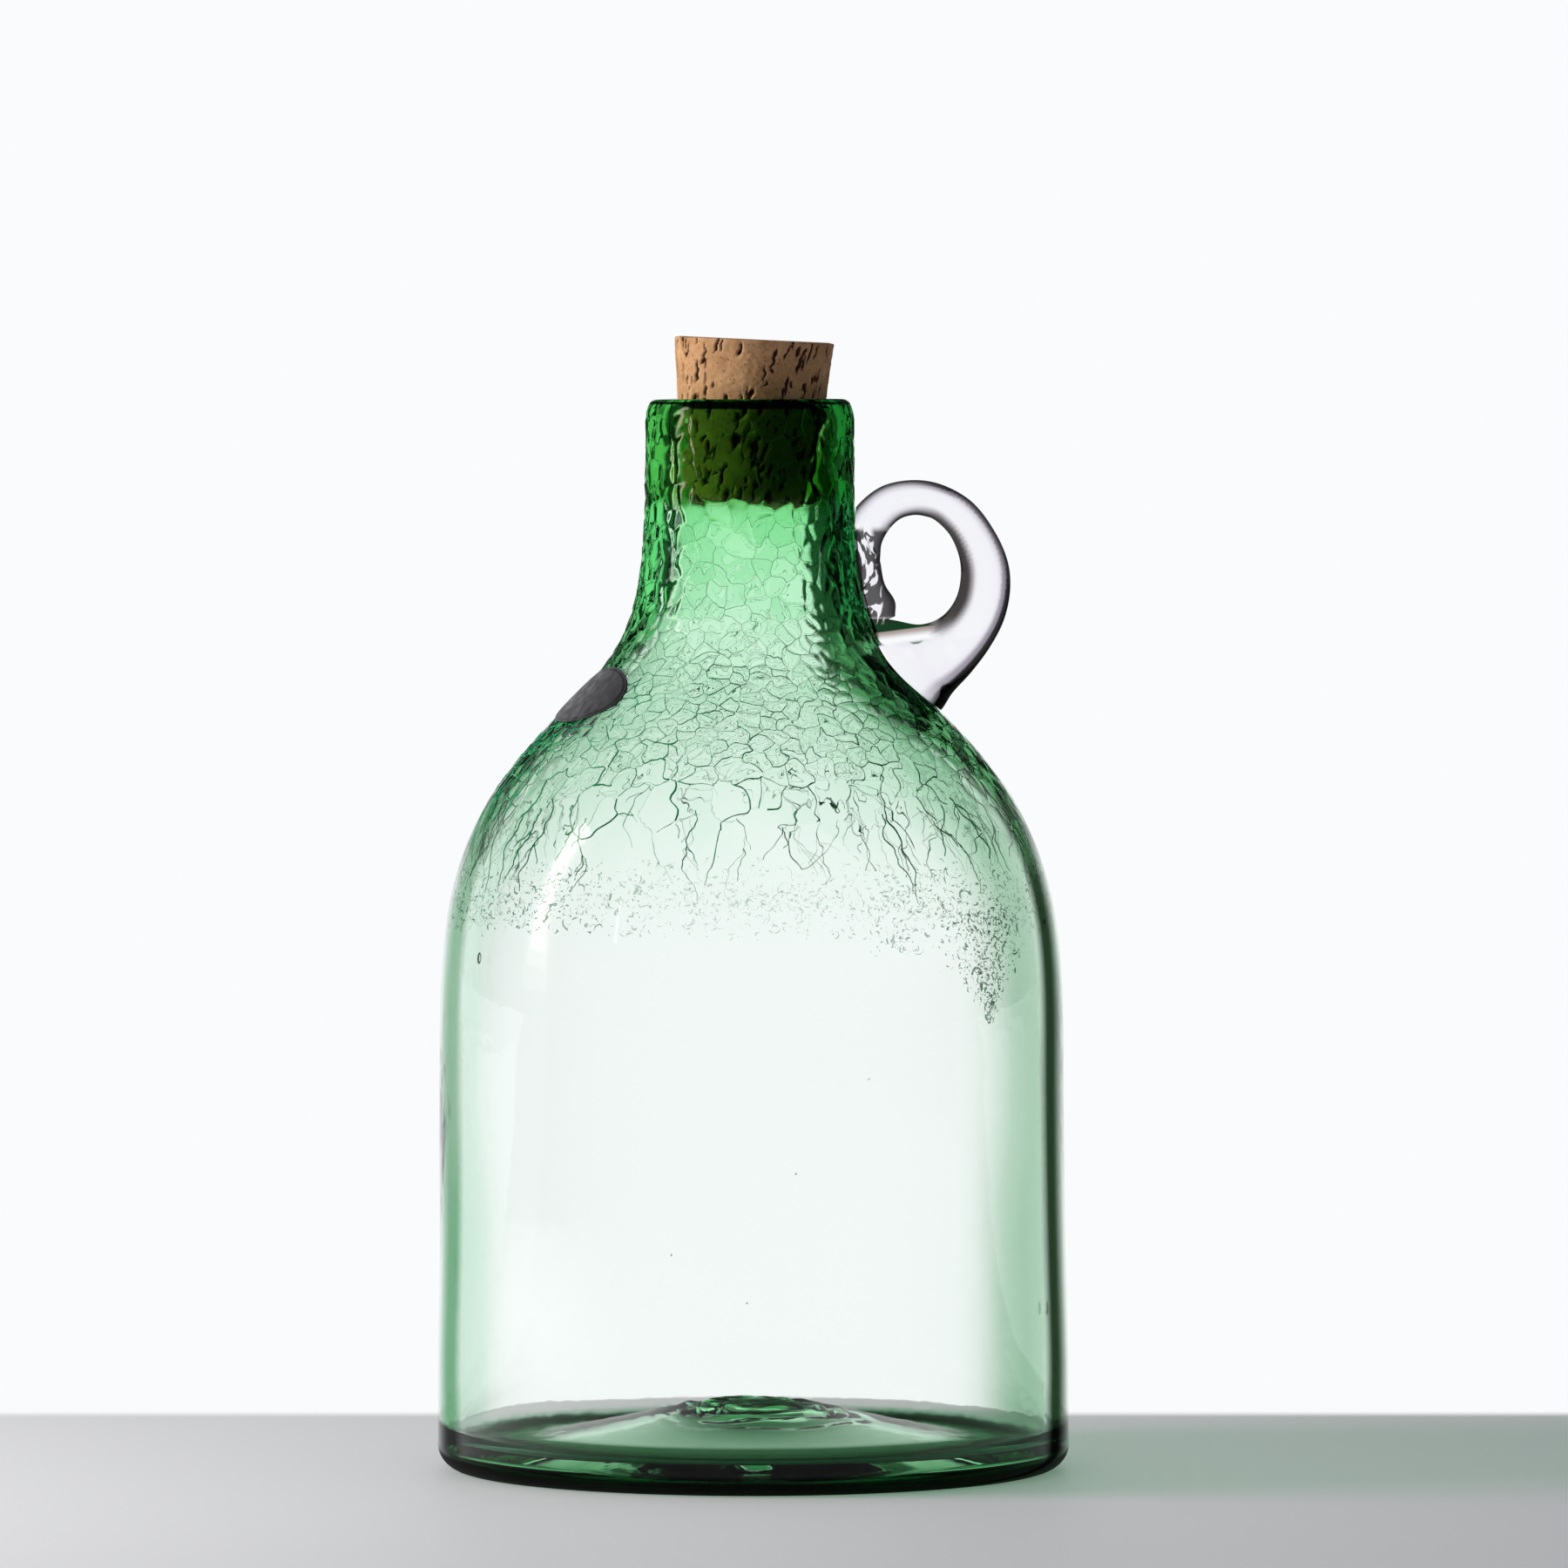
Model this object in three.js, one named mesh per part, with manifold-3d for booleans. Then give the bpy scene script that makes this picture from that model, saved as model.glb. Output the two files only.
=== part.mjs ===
// Crackle-glass carboy: a green blown vessel with a clear loop handle applied hot, a tapered
// natural cork and a blank oval label on the shoulder.
// Millimetres, +Z up. The origin is on the vessel's axis, in the plane that it stands on.
// The handle points to +X, and the front of the vessel faces -Y.
import * as THREE from 'three';
import { mergeVertices } from 'three/addons/utils/BufferGeometryUtils.js';
import Module from 'manifold-3d';

const wasm = await Module();
wasm.setup();

// Vessel, outside, from the table up
const bodyDiameter = 153.6;
const shoulderDiameter = 151.6;
const slopeDiameter = 101.4;
const neckDiameter = 50.8;
const lipDiameter = 49.8;
const bodyHeight = 95.8;
const shoulderHeight = 83.6;
const flareHeight = 60.6;
const neckHeight = 20.0;
const shoulderSlope = THREE.MathUtils.degToRad(43.5);
const heelRadius = 6.3;
const footRingWidth = 8.0;
const lipRounding = 2.4;

// Vessel, glass thickness and the pushed-up base
const bodyWall = 5.0;
const neckWall = 6.8;
const baseThickness = 7.5;
const floorFillet = 4.0;
const floorRise = 9.9;
const puntRise = 8.6;
const pontilDiameter = 42.0;
const pontilWidth = 3.2;
const pontilHeight = 0.9;

// Cork stopper
const corkTopDiameter = 38.6;
const corkBottomDiameter = 31.4;
const corkLength = 39.0;
const corkProtrusion = 14.4;
const corkEdge = 0.5;
const corkLean = THREE.MathUtils.degToRad(2.7);
const corkClearance = 0.35;

// Loop handle
const handleReach = 37.7;
const handleBelowRim = 19.7;
const handleFootRise = 16.4;
const handleThickness = 12.1;
const handleGap = 0.3;
const tailBelowHandle = 10.8;
const tailLength = 21.6;
const tailThickness = 5.4;
const tailWidth = 13.6;
const tailCrimps = 4;

// Label
const labelLength = 31.0;
const labelWidth = 17.8;
const labelThickness = 0.2;
const labelGap = 0.3;
const labelRise = 8.9;
const labelBearing = THREE.MathUtils.degToRad(67.6);
const labelRoll = THREE.MathUtils.degToRad(5.3);

// Fineness of the faceted surfaces
const turnFacets = 56;
const corkFacets = 40;
const puntPoints = 5;
const rodSides = 16;
const rodSteps = 36;
const crimpSteps = 4;
const ovalPoints = 18;
const stepsOfCurve = {
  LineCurve: 1,
  EllipseCurve: 4,
  QuadraticBezierCurve: 4,
  CubicBezierCurve: 9,
};

const bodyRadius = bodyDiameter / 2;
const neckRadius = neckDiameter / 2;
const shoulderTop = bodyHeight + shoulderHeight;
const neckFoot = shoulderTop + flareHeight;
const rim = neckFoot + neckHeight;
const handleTop = rim - handleBelowRim;

// Turns an open or indexed three.js shape into a solid, with its seam and poles closed.
function toSolid(geometry) {
  const bare = geometry.clone();
  bare.deleteAttribute('normal');
  bare.deleteAttribute('uv');
  const merged = mergeVertices(bare);
  const kept = [];
  for (let i = 0; i < merged.index.count; i += 3) {
    const [a, b, c] = merged.index.array.slice(i, i + 3);
    if (a !== b && b !== c && c !== a) kept.push(a, b, c);
  }
  return new wasm.Manifold(new wasm.Mesh({
    numProp: 3,
    vertProperties: new Float32Array(merged.attributes.position.array),
    triVerts: new Uint32Array(kept),
  }));
}

function toGeometry(solid) {
  const mesh = solid.getMesh();
  const geometry = new THREE.BufferGeometry();
  geometry.setAttribute('position', new THREE.BufferAttribute(mesh.vertProperties, 3));
  geometry.setIndex(new THREE.BufferAttribute(mesh.triVerts, 1));
  geometry.computeVertexNormals();
  return geometry;
}

// A profile of (radius, height) points, turned about the Z axis.
function turned(profile, facets) {
  return new THREE.LatheGeometry(profile, facets).rotateX(Math.PI / 2);
}

// The outer wall from the foot ring to the lip, as one path of lines, arcs and curves:
// heel, straight wall, shoulder, flare into the neck, neck and rounded lip.
function outerPath() {
  const shoulderHandleShares = [0.44, 0.427];
  const flareHandleShares = [0.436, 0.656];
  const along = new THREE.Vector2(Math.sin(shoulderSlope), -Math.cos(shoulderSlope));
  const slope = new THREE.Vector2(slopeDiameter / 2, shoulderTop);
  const below = slope.clone().addScaledVector(along, shoulderHandleShares[1] * shoulderHeight);
  const above = slope.clone().addScaledVector(along, -flareHandleShares[0] * flareHeight);
  const path = new THREE.Path();
  path.moveTo(bodyRadius - heelRadius, 0);
  path.absarc(bodyRadius - heelRadius, heelRadius, heelRadius, -Math.PI / 2, 0);
  path.lineTo(shoulderDiameter / 2, bodyHeight);
  path.bezierCurveTo(
    shoulderDiameter / 2, bodyHeight + shoulderHandleShares[0] * shoulderHeight,
    below.x, below.y, slope.x, slope.y,
  );
  path.bezierCurveTo(
    above.x, above.y,
    neckRadius, neckFoot - flareHandleShares[1] * flareHeight, neckRadius, neckFoot,
  );
  path.lineTo(neckRadius, rim - 2 * lipRounding);
  path.quadraticCurveTo(lipDiameter / 2, rim, lipDiameter / 2 - lipRounding, rim);
  return path;
}

// Points along a path, each with the kind of curve that it is on and the normal to its right.
function stationsOn(path) {
  const stations = [];
  for (const curve of path.curves) {
    const steps = stepsOfCurve[curve.type];
    for (let i = stations.length ? 1 : 0; i <= steps; i += 1) {
      const tangent = curve.getTangent(i / steps);
      stations.push({
        type: curve.type,
        point: curve.getPoint(i / steps),
        normal: new THREE.Vector2(tangent.y, -tangent.x),
      });
    }
  }
  return stations;
}

// The outer wall's point at a height, and the way that the glass faces there.
function wallPoint(height) {
  const stations = stationsOn(outerPath());
  const upper = stations.findIndex(({ point }) => point.y >= height);
  const [a, b] = [stations[upper - 1], stations[upper]];
  const share = (height - a.point.y) / (b.point.y - a.point.y);
  return {
    point: a.point.clone().lerp(b.point, share),
    normal: a.normal.clone().lerp(b.normal, share).normalize(),
  };
}

function thicknessAt(height) {
  return THREE.MathUtils.mapLinear(
    THREE.MathUtils.clamp(height, bodyHeight, neckFoot), bodyHeight, neckFoot, bodyWall, neckWall,
  );
}

function corkRadiusBelowTop(depth) {
  const taper = (corkTopDiameter - corkBottomDiameter) / corkLength;
  return (corkTopDiameter - taper * depth) / 2;
}

// The underside: the pontil scar ring at the middle of a pushed-up punt, out to the foot ring.
function undersideProfile() {
  const ringInner = bodyRadius - heelRadius - footRingWidth;
  const pontilRadius = pontilDiameter / 2;
  const puntShares = [[0.8, 0.11], [0.58, 0.4], [0.43, 0.68]];
  const spline = new THREE.SplineCurve([
    new THREE.Vector2(ringInner, 0),
    ...puntShares.map(([r, z]) => new THREE.Vector2(r * ringInner, z * puntRise)),
    new THREE.Vector2(pontilRadius, puntRise - pontilHeight),
  ]);
  return [
    new THREE.Vector2(0, puntRise),
    new THREE.Vector2(pontilRadius - pontilWidth, puntRise),
    new THREE.Vector2(pontilRadius - pontilWidth / 2, puntRise - pontilHeight),
    ...spline.getPoints(puntPoints).reverse(),
  ];
}

// The inside: bore, neck and shoulder at the wall's thickness, then the filleted floor
// corner and the floor that follows the punt up to the axis.
function insideProfile() {
  const mouth = corkRadiusBelowTop(corkProtrusion) + corkClearance;
  const innerBody = bodyRadius - bodyWall;
  const floorHandleShares = [0.42, 0.36];
  const shoulder = stationsOn(outerPath()).filter(({ type }) => type === 'CubicBezierCurve');
  const inner = shoulder.map(({ point, normal }) => (
    point.clone().addScaledVector(normal, -thicknessAt(point.y))
  ));
  const floor = new THREE.Path();
  floor.moveTo(innerBody, baseThickness + floorFillet);
  floor.absarc(innerBody - floorFillet, baseThickness + floorFillet, floorFillet, 0, -Math.PI / 2, true);
  floor.bezierCurveTo(
    innerBody * (1 - floorHandleShares[0]), baseThickness,
    innerBody * floorHandleShares[1], baseThickness + floorRise,
    0, baseThickness + floorRise,
  );
  return [
    new THREE.Vector2(mouth + lipRounding, rim),
    new THREE.Vector2(mouth + lipRounding / 3, rim - lipRounding / 3),
    new THREE.Vector2(mouth, rim - lipRounding),
    ...inner.reverse(),
    ...stationsOn(floor).map(({ point }) => point),
  ];
}

function glassVessel() {
  const profile = [
    ...undersideProfile(),
    ...stationsOn(outerPath()).map(({ point }) => point),
    ...insideProfile(),
  ];
  return toSolid(turned(profile, turnFacets));
}

// The vessel's outer form, filled, and grown by a clearance: what is laid on the glass is
// cut with it.
function seatForm(clearance) {
  const grown = stationsOn(outerPath()).map(({ point, normal }) => (
    point.clone().addScaledVector(normal, clearance)
  ));
  const profile = [
    new THREE.Vector2(0, -clearance),
    ...grown,
    new THREE.Vector2(0, rim + clearance),
  ];
  return toSolid(turned(profile, turnFacets));
}

// A rod lofted through oval sections that stand on the XZ plane. Each row of the table is a
// section's outer edge and inner edge in that plane, and its half size along Y, which swells.
function loft(rows, steps, sides, swell = () => 1) {
  const spline = (pick) => new THREE.CatmullRomCurve3(rows.map(pick));
  const outer = spline(([x, z]) => new THREE.Vector3(x, 0, z));
  const inner = spline(([, , x, z]) => new THREE.Vector3(x, 0, z));
  const depth = spline(([, , , , y], i) => new THREE.Vector3(i, y, 0));
  const positions = [];
  const index = [];
  for (let i = 0; i <= steps; i += 1) {
    const share = i / steps;
    const middle = outer.getPoint(share).lerp(inner.getPoint(share), 0.5);
    const half = outer.getPoint(share).sub(middle);
    const deep = depth.getPoint(share).y * swell(share);
    for (let k = 0; k < sides; k += 1) {
      const angle = (2 * Math.PI * k) / sides;
      const place = middle.clone().addScaledVector(half, Math.cos(angle));
      positions.push(place.x, deep * Math.sin(angle), place.z);
    }
  }
  for (let i = 0; i < steps; i += 1) {
    for (let k = 0; k < sides; k += 1) {
      const a = i * sides + k;
      const b = i * sides + ((k + 1) % sides);
      index.push(a, b, a + sides, b, b + sides, a + sides);
    }
  }
  const last = steps * sides;
  for (let k = 1; k < sides - 1; k += 1) {
    index.push(0, k + 1, k, last, last + k, last + k + 1);
  }
  const geometry = new THREE.BufferGeometry();
  geometry.setAttribute('position', new THREE.Float32BufferAttribute(positions, 3));
  geometry.setIndex(index);
  return toSolid(geometry);
}

// The loop: a broad foot on the shoulder, drawn out and round to the neck, and turned down
// along it. The foot's shares are of the thickness, down along the glass and out from it. The
// loop's are of the reach from the neck and the drop from the top to the foot, for the outer
// and then the inner edge, with the half depth as a share of the thickness.
function handleRod() {
  const footShares = [
    [1.3, -0.28, -1.1, -0.28, 0.94],
    [1.3, 0.13, -1.1, 0.13, 0.9],
    [1.17, 0.53, -0.69, 0.52, 0.76],
  ];
  const loopShares = [
    [0.748, 1.049, 0.427, 0.787, 0.66],
    [0.87, 0.91, 0.562, 0.742, 0.58],
    [0.96, 0.762, 0.65, 0.645, 0.53],
    [1, 0.602, 0.682, 0.526, 0.5],
    [0.987, 0.449, 0.671, 0.416, 0.49],
    [0.899, 0.276, 0.61, 0.297, 0.47],
    [0.753, 0.117, 0.512, 0.216, 0.44],
    [0.562, 0.025, 0.464, 0.2, 0.41],
    [0.387, 0, 0.387, 0.191, 0.4],
    [0.191, 0.029, 0.297, 0.211, 0.41],
    [0.056, 0.106, 0.225, 0.267, 0.43],
    [-0.037, 0.209, 0.175, 0.344, 0.43],
    [-0.074, 0.333, 0.164, 0.427, 0.4],
    [-0.066, 0.467, 0.154, 0.524, 0.36],
  ];
  const foot = wallPoint(shoulderTop + handleFootRise);
  const down = new THREE.Vector2(foot.normal.y, -foot.normal.x);
  const onFoot = (along, out) => foot.point.clone()
    .addScaledVector(down, along * handleThickness)
    .addScaledVector(foot.normal, out * handleThickness)
    .toArray();
  const onLoop = (reach, drop) => [
    neckRadius + reach * handleReach,
    handleTop - drop * (handleTop - foot.point.y),
  ];
  const footRows = footShares.map(([a, b, c, d, deep]) => (
    [...onFoot(a, b), ...onFoot(c, d), deep * handleThickness]
  ));
  const loopRows = loopShares.map(([a, b, c, d, deep]) => (
    [...onLoop(a, b), ...onLoop(c, d), deep * handleThickness]
  ));
  return loft([...footRows, ...loopRows], rodSteps, rodSides);
}

// The tail of the gather, folded down the neck under the loop and crimped against it. The
// shares are of its length, of its thickness out from the glass, of its length again for the
// sag of its outer edge, and of its width.
function handleTail() {
  const rowShares = [
    [0, 0.5, 0, 0.5],
    [0.1, 0.86, 0, 0.88],
    [0.34, 0.93, 0, 1],
    [0.56, 0.87, 0, 0.95],
    [0.76, 0.98, 0.01, 0.92],
    [0.9, 1.12, 0.03, 0.8],
    [1, 1.06, 0.06, 0.6],
  ];
  const crimpDepthShare = 0.07;
  const rows = rowShares.map(([fall, out, sag, wide]) => {
    const { point, normal } = wallPoint(handleTop - tailBelowHandle - fall * tailLength);
    const outer = point.clone().addScaledVector(normal, out * tailThickness);
    const inner = point.clone().addScaledVector(normal, -out * tailThickness);
    outer.y -= sag * tailLength;
    return [...inner.toArray(), ...outer.toArray(), (wide * tailWidth) / 2];
  });
  const crimp = (share) => 1 + crimpDepthShare * Math.cos(2 * Math.PI * tailCrimps * share);
  return loft(rows, tailCrimps * crimpSteps, rodSides, crimp);
}

function loopHandle() {
  return handleRod().add(handleTail()).subtract(seatForm(handleGap));
}

function corkStopper() {
  const bottom = corkProtrusion - corkLength;
  const profile = [
    new THREE.Vector2(0, bottom),
    new THREE.Vector2(corkBottomDiameter / 2 - corkEdge, bottom),
    new THREE.Vector2(corkRadiusBelowTop(corkLength - corkEdge), bottom + corkEdge),
    new THREE.Vector2(corkRadiusBelowTop(corkEdge), corkProtrusion - corkEdge),
    new THREE.Vector2(corkTopDiameter / 2 - corkEdge, corkProtrusion),
    new THREE.Vector2(0, corkProtrusion),
  ];
  return toSolid(turned(profile, corkFacets));
}

// An oval cut from a thin skin that lies on the shoulder, so that it curves with the glass.
function shoulderLabel() {
  const { point, normal } = wallPoint(shoulderTop + labelRise);
  const cutDepth = labelWidth;
  const oval = new THREE.Shape();
  oval.absellipse(0, 0, labelLength / 2, labelWidth / 2, 0, 2 * Math.PI);
  const cutter = new THREE.ExtrudeGeometry(oval, {
    depth: cutDepth, bevelEnabled: false, curveSegments: ovalPoints,
  });
  const facing = new THREE.Vector3(
    -Math.sin(labelBearing) * normal.x, -Math.cos(labelBearing) * normal.x, normal.y,
  );
  const right = new THREE.Vector3(Math.cos(labelBearing), -Math.sin(labelBearing), 0);
  const up = new THREE.Vector3().crossVectors(facing, right);
  cutter.translate(0, 0, -cutDepth / 2).rotateZ(labelRoll);
  cutter.applyMatrix4(new THREE.Matrix4().makeBasis(right, up, facing));
  cutter.translate(-Math.sin(labelBearing) * point.x, -Math.cos(labelBearing) * point.x, point.y);
  const skin = seatForm(labelGap + labelThickness).subtract(seatForm(labelGap));
  return skin.intersect(toSolid(cutter));
}

function named(name, solid, look) {
  const mesh = new THREE.Mesh(toGeometry(solid), new THREE.MeshStandardMaterial(look));
  mesh.name = name;
  return mesh;
}

const carboy = new THREE.Group();
carboy.add(named('glass_vessel', glassVessel(), {
  color: 0x8fd3a4, roughness: 0.04, metalness: 0, transparent: true, opacity: 0.45,
}));
carboy.add(named('loop_handle', loopHandle(), {
  color: 0xe8e8f0, roughness: 0.03, metalness: 0, transparent: true, opacity: 0.4,
}));
carboy.add(named('shoulder_label', shoulderLabel(), {
  color: 0x9b98a6, roughness: 0.35, metalness: 0.6,
}));

const corkSeat = new THREE.Group();
corkSeat.position.z = rim;
corkSeat.rotation.y = corkLean;
corkSeat.add(named('cork_stopper', corkStopper(), {
  color: 0xb98b62, roughness: 0.92, metalness: 0,
}));
carboy.add(corkSeat);

export default carboy;
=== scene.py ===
import math

import bpy
import numpy as np
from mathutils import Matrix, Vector
from mathutils.geometry import delaunay_2d_cdt


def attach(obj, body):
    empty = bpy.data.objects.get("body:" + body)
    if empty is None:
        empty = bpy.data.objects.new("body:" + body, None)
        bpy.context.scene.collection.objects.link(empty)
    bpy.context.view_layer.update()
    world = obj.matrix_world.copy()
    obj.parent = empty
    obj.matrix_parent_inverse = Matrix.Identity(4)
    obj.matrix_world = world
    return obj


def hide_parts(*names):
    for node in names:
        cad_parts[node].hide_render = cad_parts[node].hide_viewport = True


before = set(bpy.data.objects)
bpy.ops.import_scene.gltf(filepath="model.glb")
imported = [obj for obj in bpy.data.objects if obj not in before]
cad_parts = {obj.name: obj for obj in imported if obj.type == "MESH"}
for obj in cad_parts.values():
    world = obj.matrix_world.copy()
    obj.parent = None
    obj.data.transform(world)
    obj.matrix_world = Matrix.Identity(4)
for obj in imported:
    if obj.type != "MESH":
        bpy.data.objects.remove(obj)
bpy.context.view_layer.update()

# The camera stands a little above the neck, almost three metres in front of the carboy, with a
# long lens, and looks slightly down at the table.
camera_place = (0.0079, -2.870, 0.277)
camera_pitch = math.radians(2.205)
camera_lens = 271.56

camera = bpy.data.objects.new("camera", bpy.data.cameras.new("camera"))
camera.data.lens = camera_lens
camera.data.sensor_width = 36
camera.location = camera_place
camera.rotation_euler = (math.pi / 2 - camera_pitch, 0, 0)
bpy.context.scene.collection.objects.link(camera)
bpy.context.scene.camera = camera


# The studio: a pale table in front of a white sweep, in a dim room. A tall soft box stands on the
# left, a little in front of the carboy, and a broad one above it lights the cork and the table.
class Wire:
    """A socket of a node tree. Sums, differences and products of wires and numbers add the Math
    nodes that work them out, and the other methods add any other node."""

    def __init__(self, tree, socket=None):
        self.tree = tree
        self.socket = socket

    def node(self, kind, settings=None, values=None, output=0):
        """Adds a node: its settings are set first, then the values or links of its sockets."""
        made = self.tree.nodes.new(kind)
        for name, value in (settings or {}).items():
            if name == "stops":
                self.fill_stops(made.color_ramp, value)
            else:
                setattr(made, name, value)
        for name, value in (values or {}).items():
            if isinstance(value, Wire):
                self.tree.links.new(value.socket, made.inputs[name])
            else:
                made.inputs[name].default_value = value
        return Wire(self.tree, made.outputs[output] if made.outputs else None)

    @staticmethod
    def fill_stops(ramp, stops):
        """Gives a colour ramp its stops, each a place from 0 to 1 and a colour."""
        while len(ramp.elements) < len(stops):
            ramp.elements.new(1)
        for element, (place, colour) in zip(ramp.elements, stops):
            element.position = place
            element.color = (*colour, 1)

    def maths(self, operation, first, second):
        """The Math node of this operation."""
        return self.node("ShaderNodeMath", {"operation": operation}, {0: first, 1: second})

    def __add__(self, other):
        return self.maths("ADD", self, other)

    def __mul__(self, other):
        return self.maths("MULTIPLY", self, other)

    def __sub__(self, other):
        return self.maths("SUBTRACT", self, other)

    def __rsub__(self, other):
        return self.maths("SUBTRACT", other, self)

    __radd__ = __add__
    __rmul__ = __mul__

    def between(self, low, high):
        """0 up to low, 1 from high on, and smooth between them."""
        return self.node(
            "ShaderNodeMapRange", {"interpolation_type": "SMOOTHSTEP"},
            {"Value": self, "From Min": low, "From Max": high},
        )

    def blend(self, first, second, blend_type="MIX"):
        """The colour first where this wire is 0, and second where it is 1."""
        return self.node(
            "ShaderNodeMix", {"data_type": "RGBA", "blend_type": blend_type},
            {0: self, 6: first, 7: second}, output=2,
        )

    def ramp(self, first, second):
        """The number first where this wire is 0, and second where it is 1."""
        return self * (second - first) + first

    def mix(self, first, second):
        """The shader first where this wire is 0, and second where it is 1."""
        return self.node("ShaderNodeMixShader", None, {0: self, 1: first, 2: second})

    def most(self, *others):
        """The largest of this wire and the others."""
        largest = self
        for other in others:
            largest = self.maths("MAXIMUM", largest, other)
        return largest

    def place(self, axis=None, kind="Object"):
        """Where the shaded point lies, or its X, Y or Z alone."""
        whole = self.node("ShaderNodeTexCoord", output=kind)
        return self.node("ShaderNodeSeparateXYZ", None, {0: whole}, axis) if axis else whole

    def stretched(self, *factors):
        """This vector with its three parts multiplied."""
        return self.node("ShaderNodeVectorMath", {"operation": "MULTIPLY"}, {0: self, 1: factors})

    def length(self):
        """The length of this vector."""
        return self.node("ShaderNodeVectorMath", {"operation": "LENGTH"}, {0: self}, "Value")

    def mark(self, name):
        """A number that the mesh gives at each of its points."""
        return self.node("ShaderNodeAttribute", {"attribute_name": name}, output="Fac")

    def facing(self):
        """0 where the surface faces the view, and 1 where it turns edge on."""
        return self.node("ShaderNodeLayerWeight", None, {"Blend": 0.5}, "Facing")

    def within(self):
        """1 where light meets the surface from inside, and 0 where it comes from outside."""
        return self.node("ShaderNodeNewGeometry", output="Backfacing")

    def ray(self, kind):
        """1 for rays of this kind, and 0 for all others."""
        return self.node("ShaderNodeLightPath", output=f"Is {kind} Ray")

    def noise(self, scale, detail=2.0, **values):
        """Smooth noise from 0 to 1 that follows this vector."""
        values = {"Vector": self, "Scale": scale, "Detail": detail, **values}
        return self.node("ShaderNodeTexNoise", None, values)

    def bump(self, strength, distance):
        """The bump whose height this wire gives."""
        values = {"Height": self, "Strength": strength, "Distance": distance}
        return self.node("ShaderNodeBump", None, values)

    def finish(self, colour, roughness, values):
        """The surface of a material of this colour and roughness."""
        values = {"Base Color": colour, "Roughness": roughness, **values}
        return self.node("ShaderNodeBsdfPrincipled", None, values)


def new_material(name):
    """An empty node material and the wire that starts its tree."""
    material = bpy.data.materials.new(name)
    material.use_nodes = True
    material.node_tree.nodes.clear()
    return material, Wire(material.node_tree)


def finish_material(start, surface, volume=None):
    """Links the material's surface, and what fills it."""
    sockets = {"Surface": surface}
    if volume:
        sockets["Volume"] = volume
    start.node("ShaderNodeOutputMaterial", None, sockets)


backdrop_white = (0.957, 0.965, 0.984, 1)
room_grey = (0.20, 0.205, 0.22, 1)
mirrored_grey = (0.10, 0.105, 0.115, 1)
ceiling_grey = (0.30, 0.31, 0.33, 1)
ceiling_heights = (0.35, 0.9)
sweep_depths, mirrored_depths = (-0.30, 0.20), (0.30, 0.75)


def light_room():
    """To the camera the room is plain white. What has passed the glass sees a white sweep behind
    the carboy, darker towards the ceiling, and a grey room in front. What the glass mirrors is
    that sweep and a darker room, and all other light comes from plain grey."""
    world = bpy.data.worlds.new("studio")
    world.use_nodes = True
    world.node_tree.nodes.clear()
    start = Wire(world.node_tree)
    behind = start.place("Y", "Generated")
    ceiling = start.place("Z", "Generated").between(*ceiling_heights)
    sweep = ceiling.blend(backdrop_white, ceiling_grey)
    through = behind.between(*sweep_depths).blend(room_grey, sweep)
    mirrored = behind.between(*mirrored_depths).blend(mirrored_grey, sweep)
    colour = start.ray("Transmission").blend(room_grey, through)
    colour = start.ray("Glossy").blend(colour, mirrored)
    colour = start.ray("Camera").blend(colour, backdrop_white)
    light = start.node("ShaderNodeBackground", None, {"Color": colour, "Strength": 1.0})
    start.node("ShaderNodeOutputWorld", None, {"Surface": light})
    bpy.context.scene.world = world


def add_soft_box(name, place, size, aim, power, colour=(1, 1, 1), mirrored=True):
    """A soft box that faces its aim. The glass mirrors it unless mirrored is False."""
    lamp = bpy.data.lights.new(name, "AREA")
    lamp.color = colour
    lamp.shape = "RECTANGLE"
    lamp.size, lamp.size_y = size
    lamp.energy = power
    box = bpy.data.objects.new(name, lamp)
    box.location = place
    box.rotation_euler = (Vector(place) - Vector(aim)).to_track_quat("Z", "Y").to_euler()
    box.visible_glossy = box.visible_transmission = mirrored
    bpy.context.scene.collection.objects.link(box)


def mesh_object(name, points, faces):
    """An object whose mesh has these points and faces."""
    mesh = bpy.data.meshes.new(name)
    mesh.from_pydata(points, [], faces)
    made = bpy.data.objects.new(name, mesh)
    bpy.context.scene.collection.objects.link(made)
    return made


table_size = 12.0
table_white = (0.80, 0.80, 0.81, 1)
table_fade = (0.132, 0.152)


def lay_table():
    """A pale table that turns into the white sweep behind the carboy."""
    half = table_size / 2
    corners = [(-half, -half, 0), (half, -half, 0), (half, half, 0), (-half, half, 0)]
    table = mesh_object("table", corners, [(0, 1, 2, 3)])
    material, start = new_material("pale_table")
    seen = start.ray("Camera").most(start.ray("Glossy"), start.ray("Transmission"))
    sweep = start.node("ShaderNodeEmission", None, {"Color": backdrop_white})
    behind = start.place("Y").between(*table_fade)
    finish_material(start, (seen * behind).mix(start.finish(table_white, 0.6, {}), sweep))
    table.data.materials.append(material)


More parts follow.
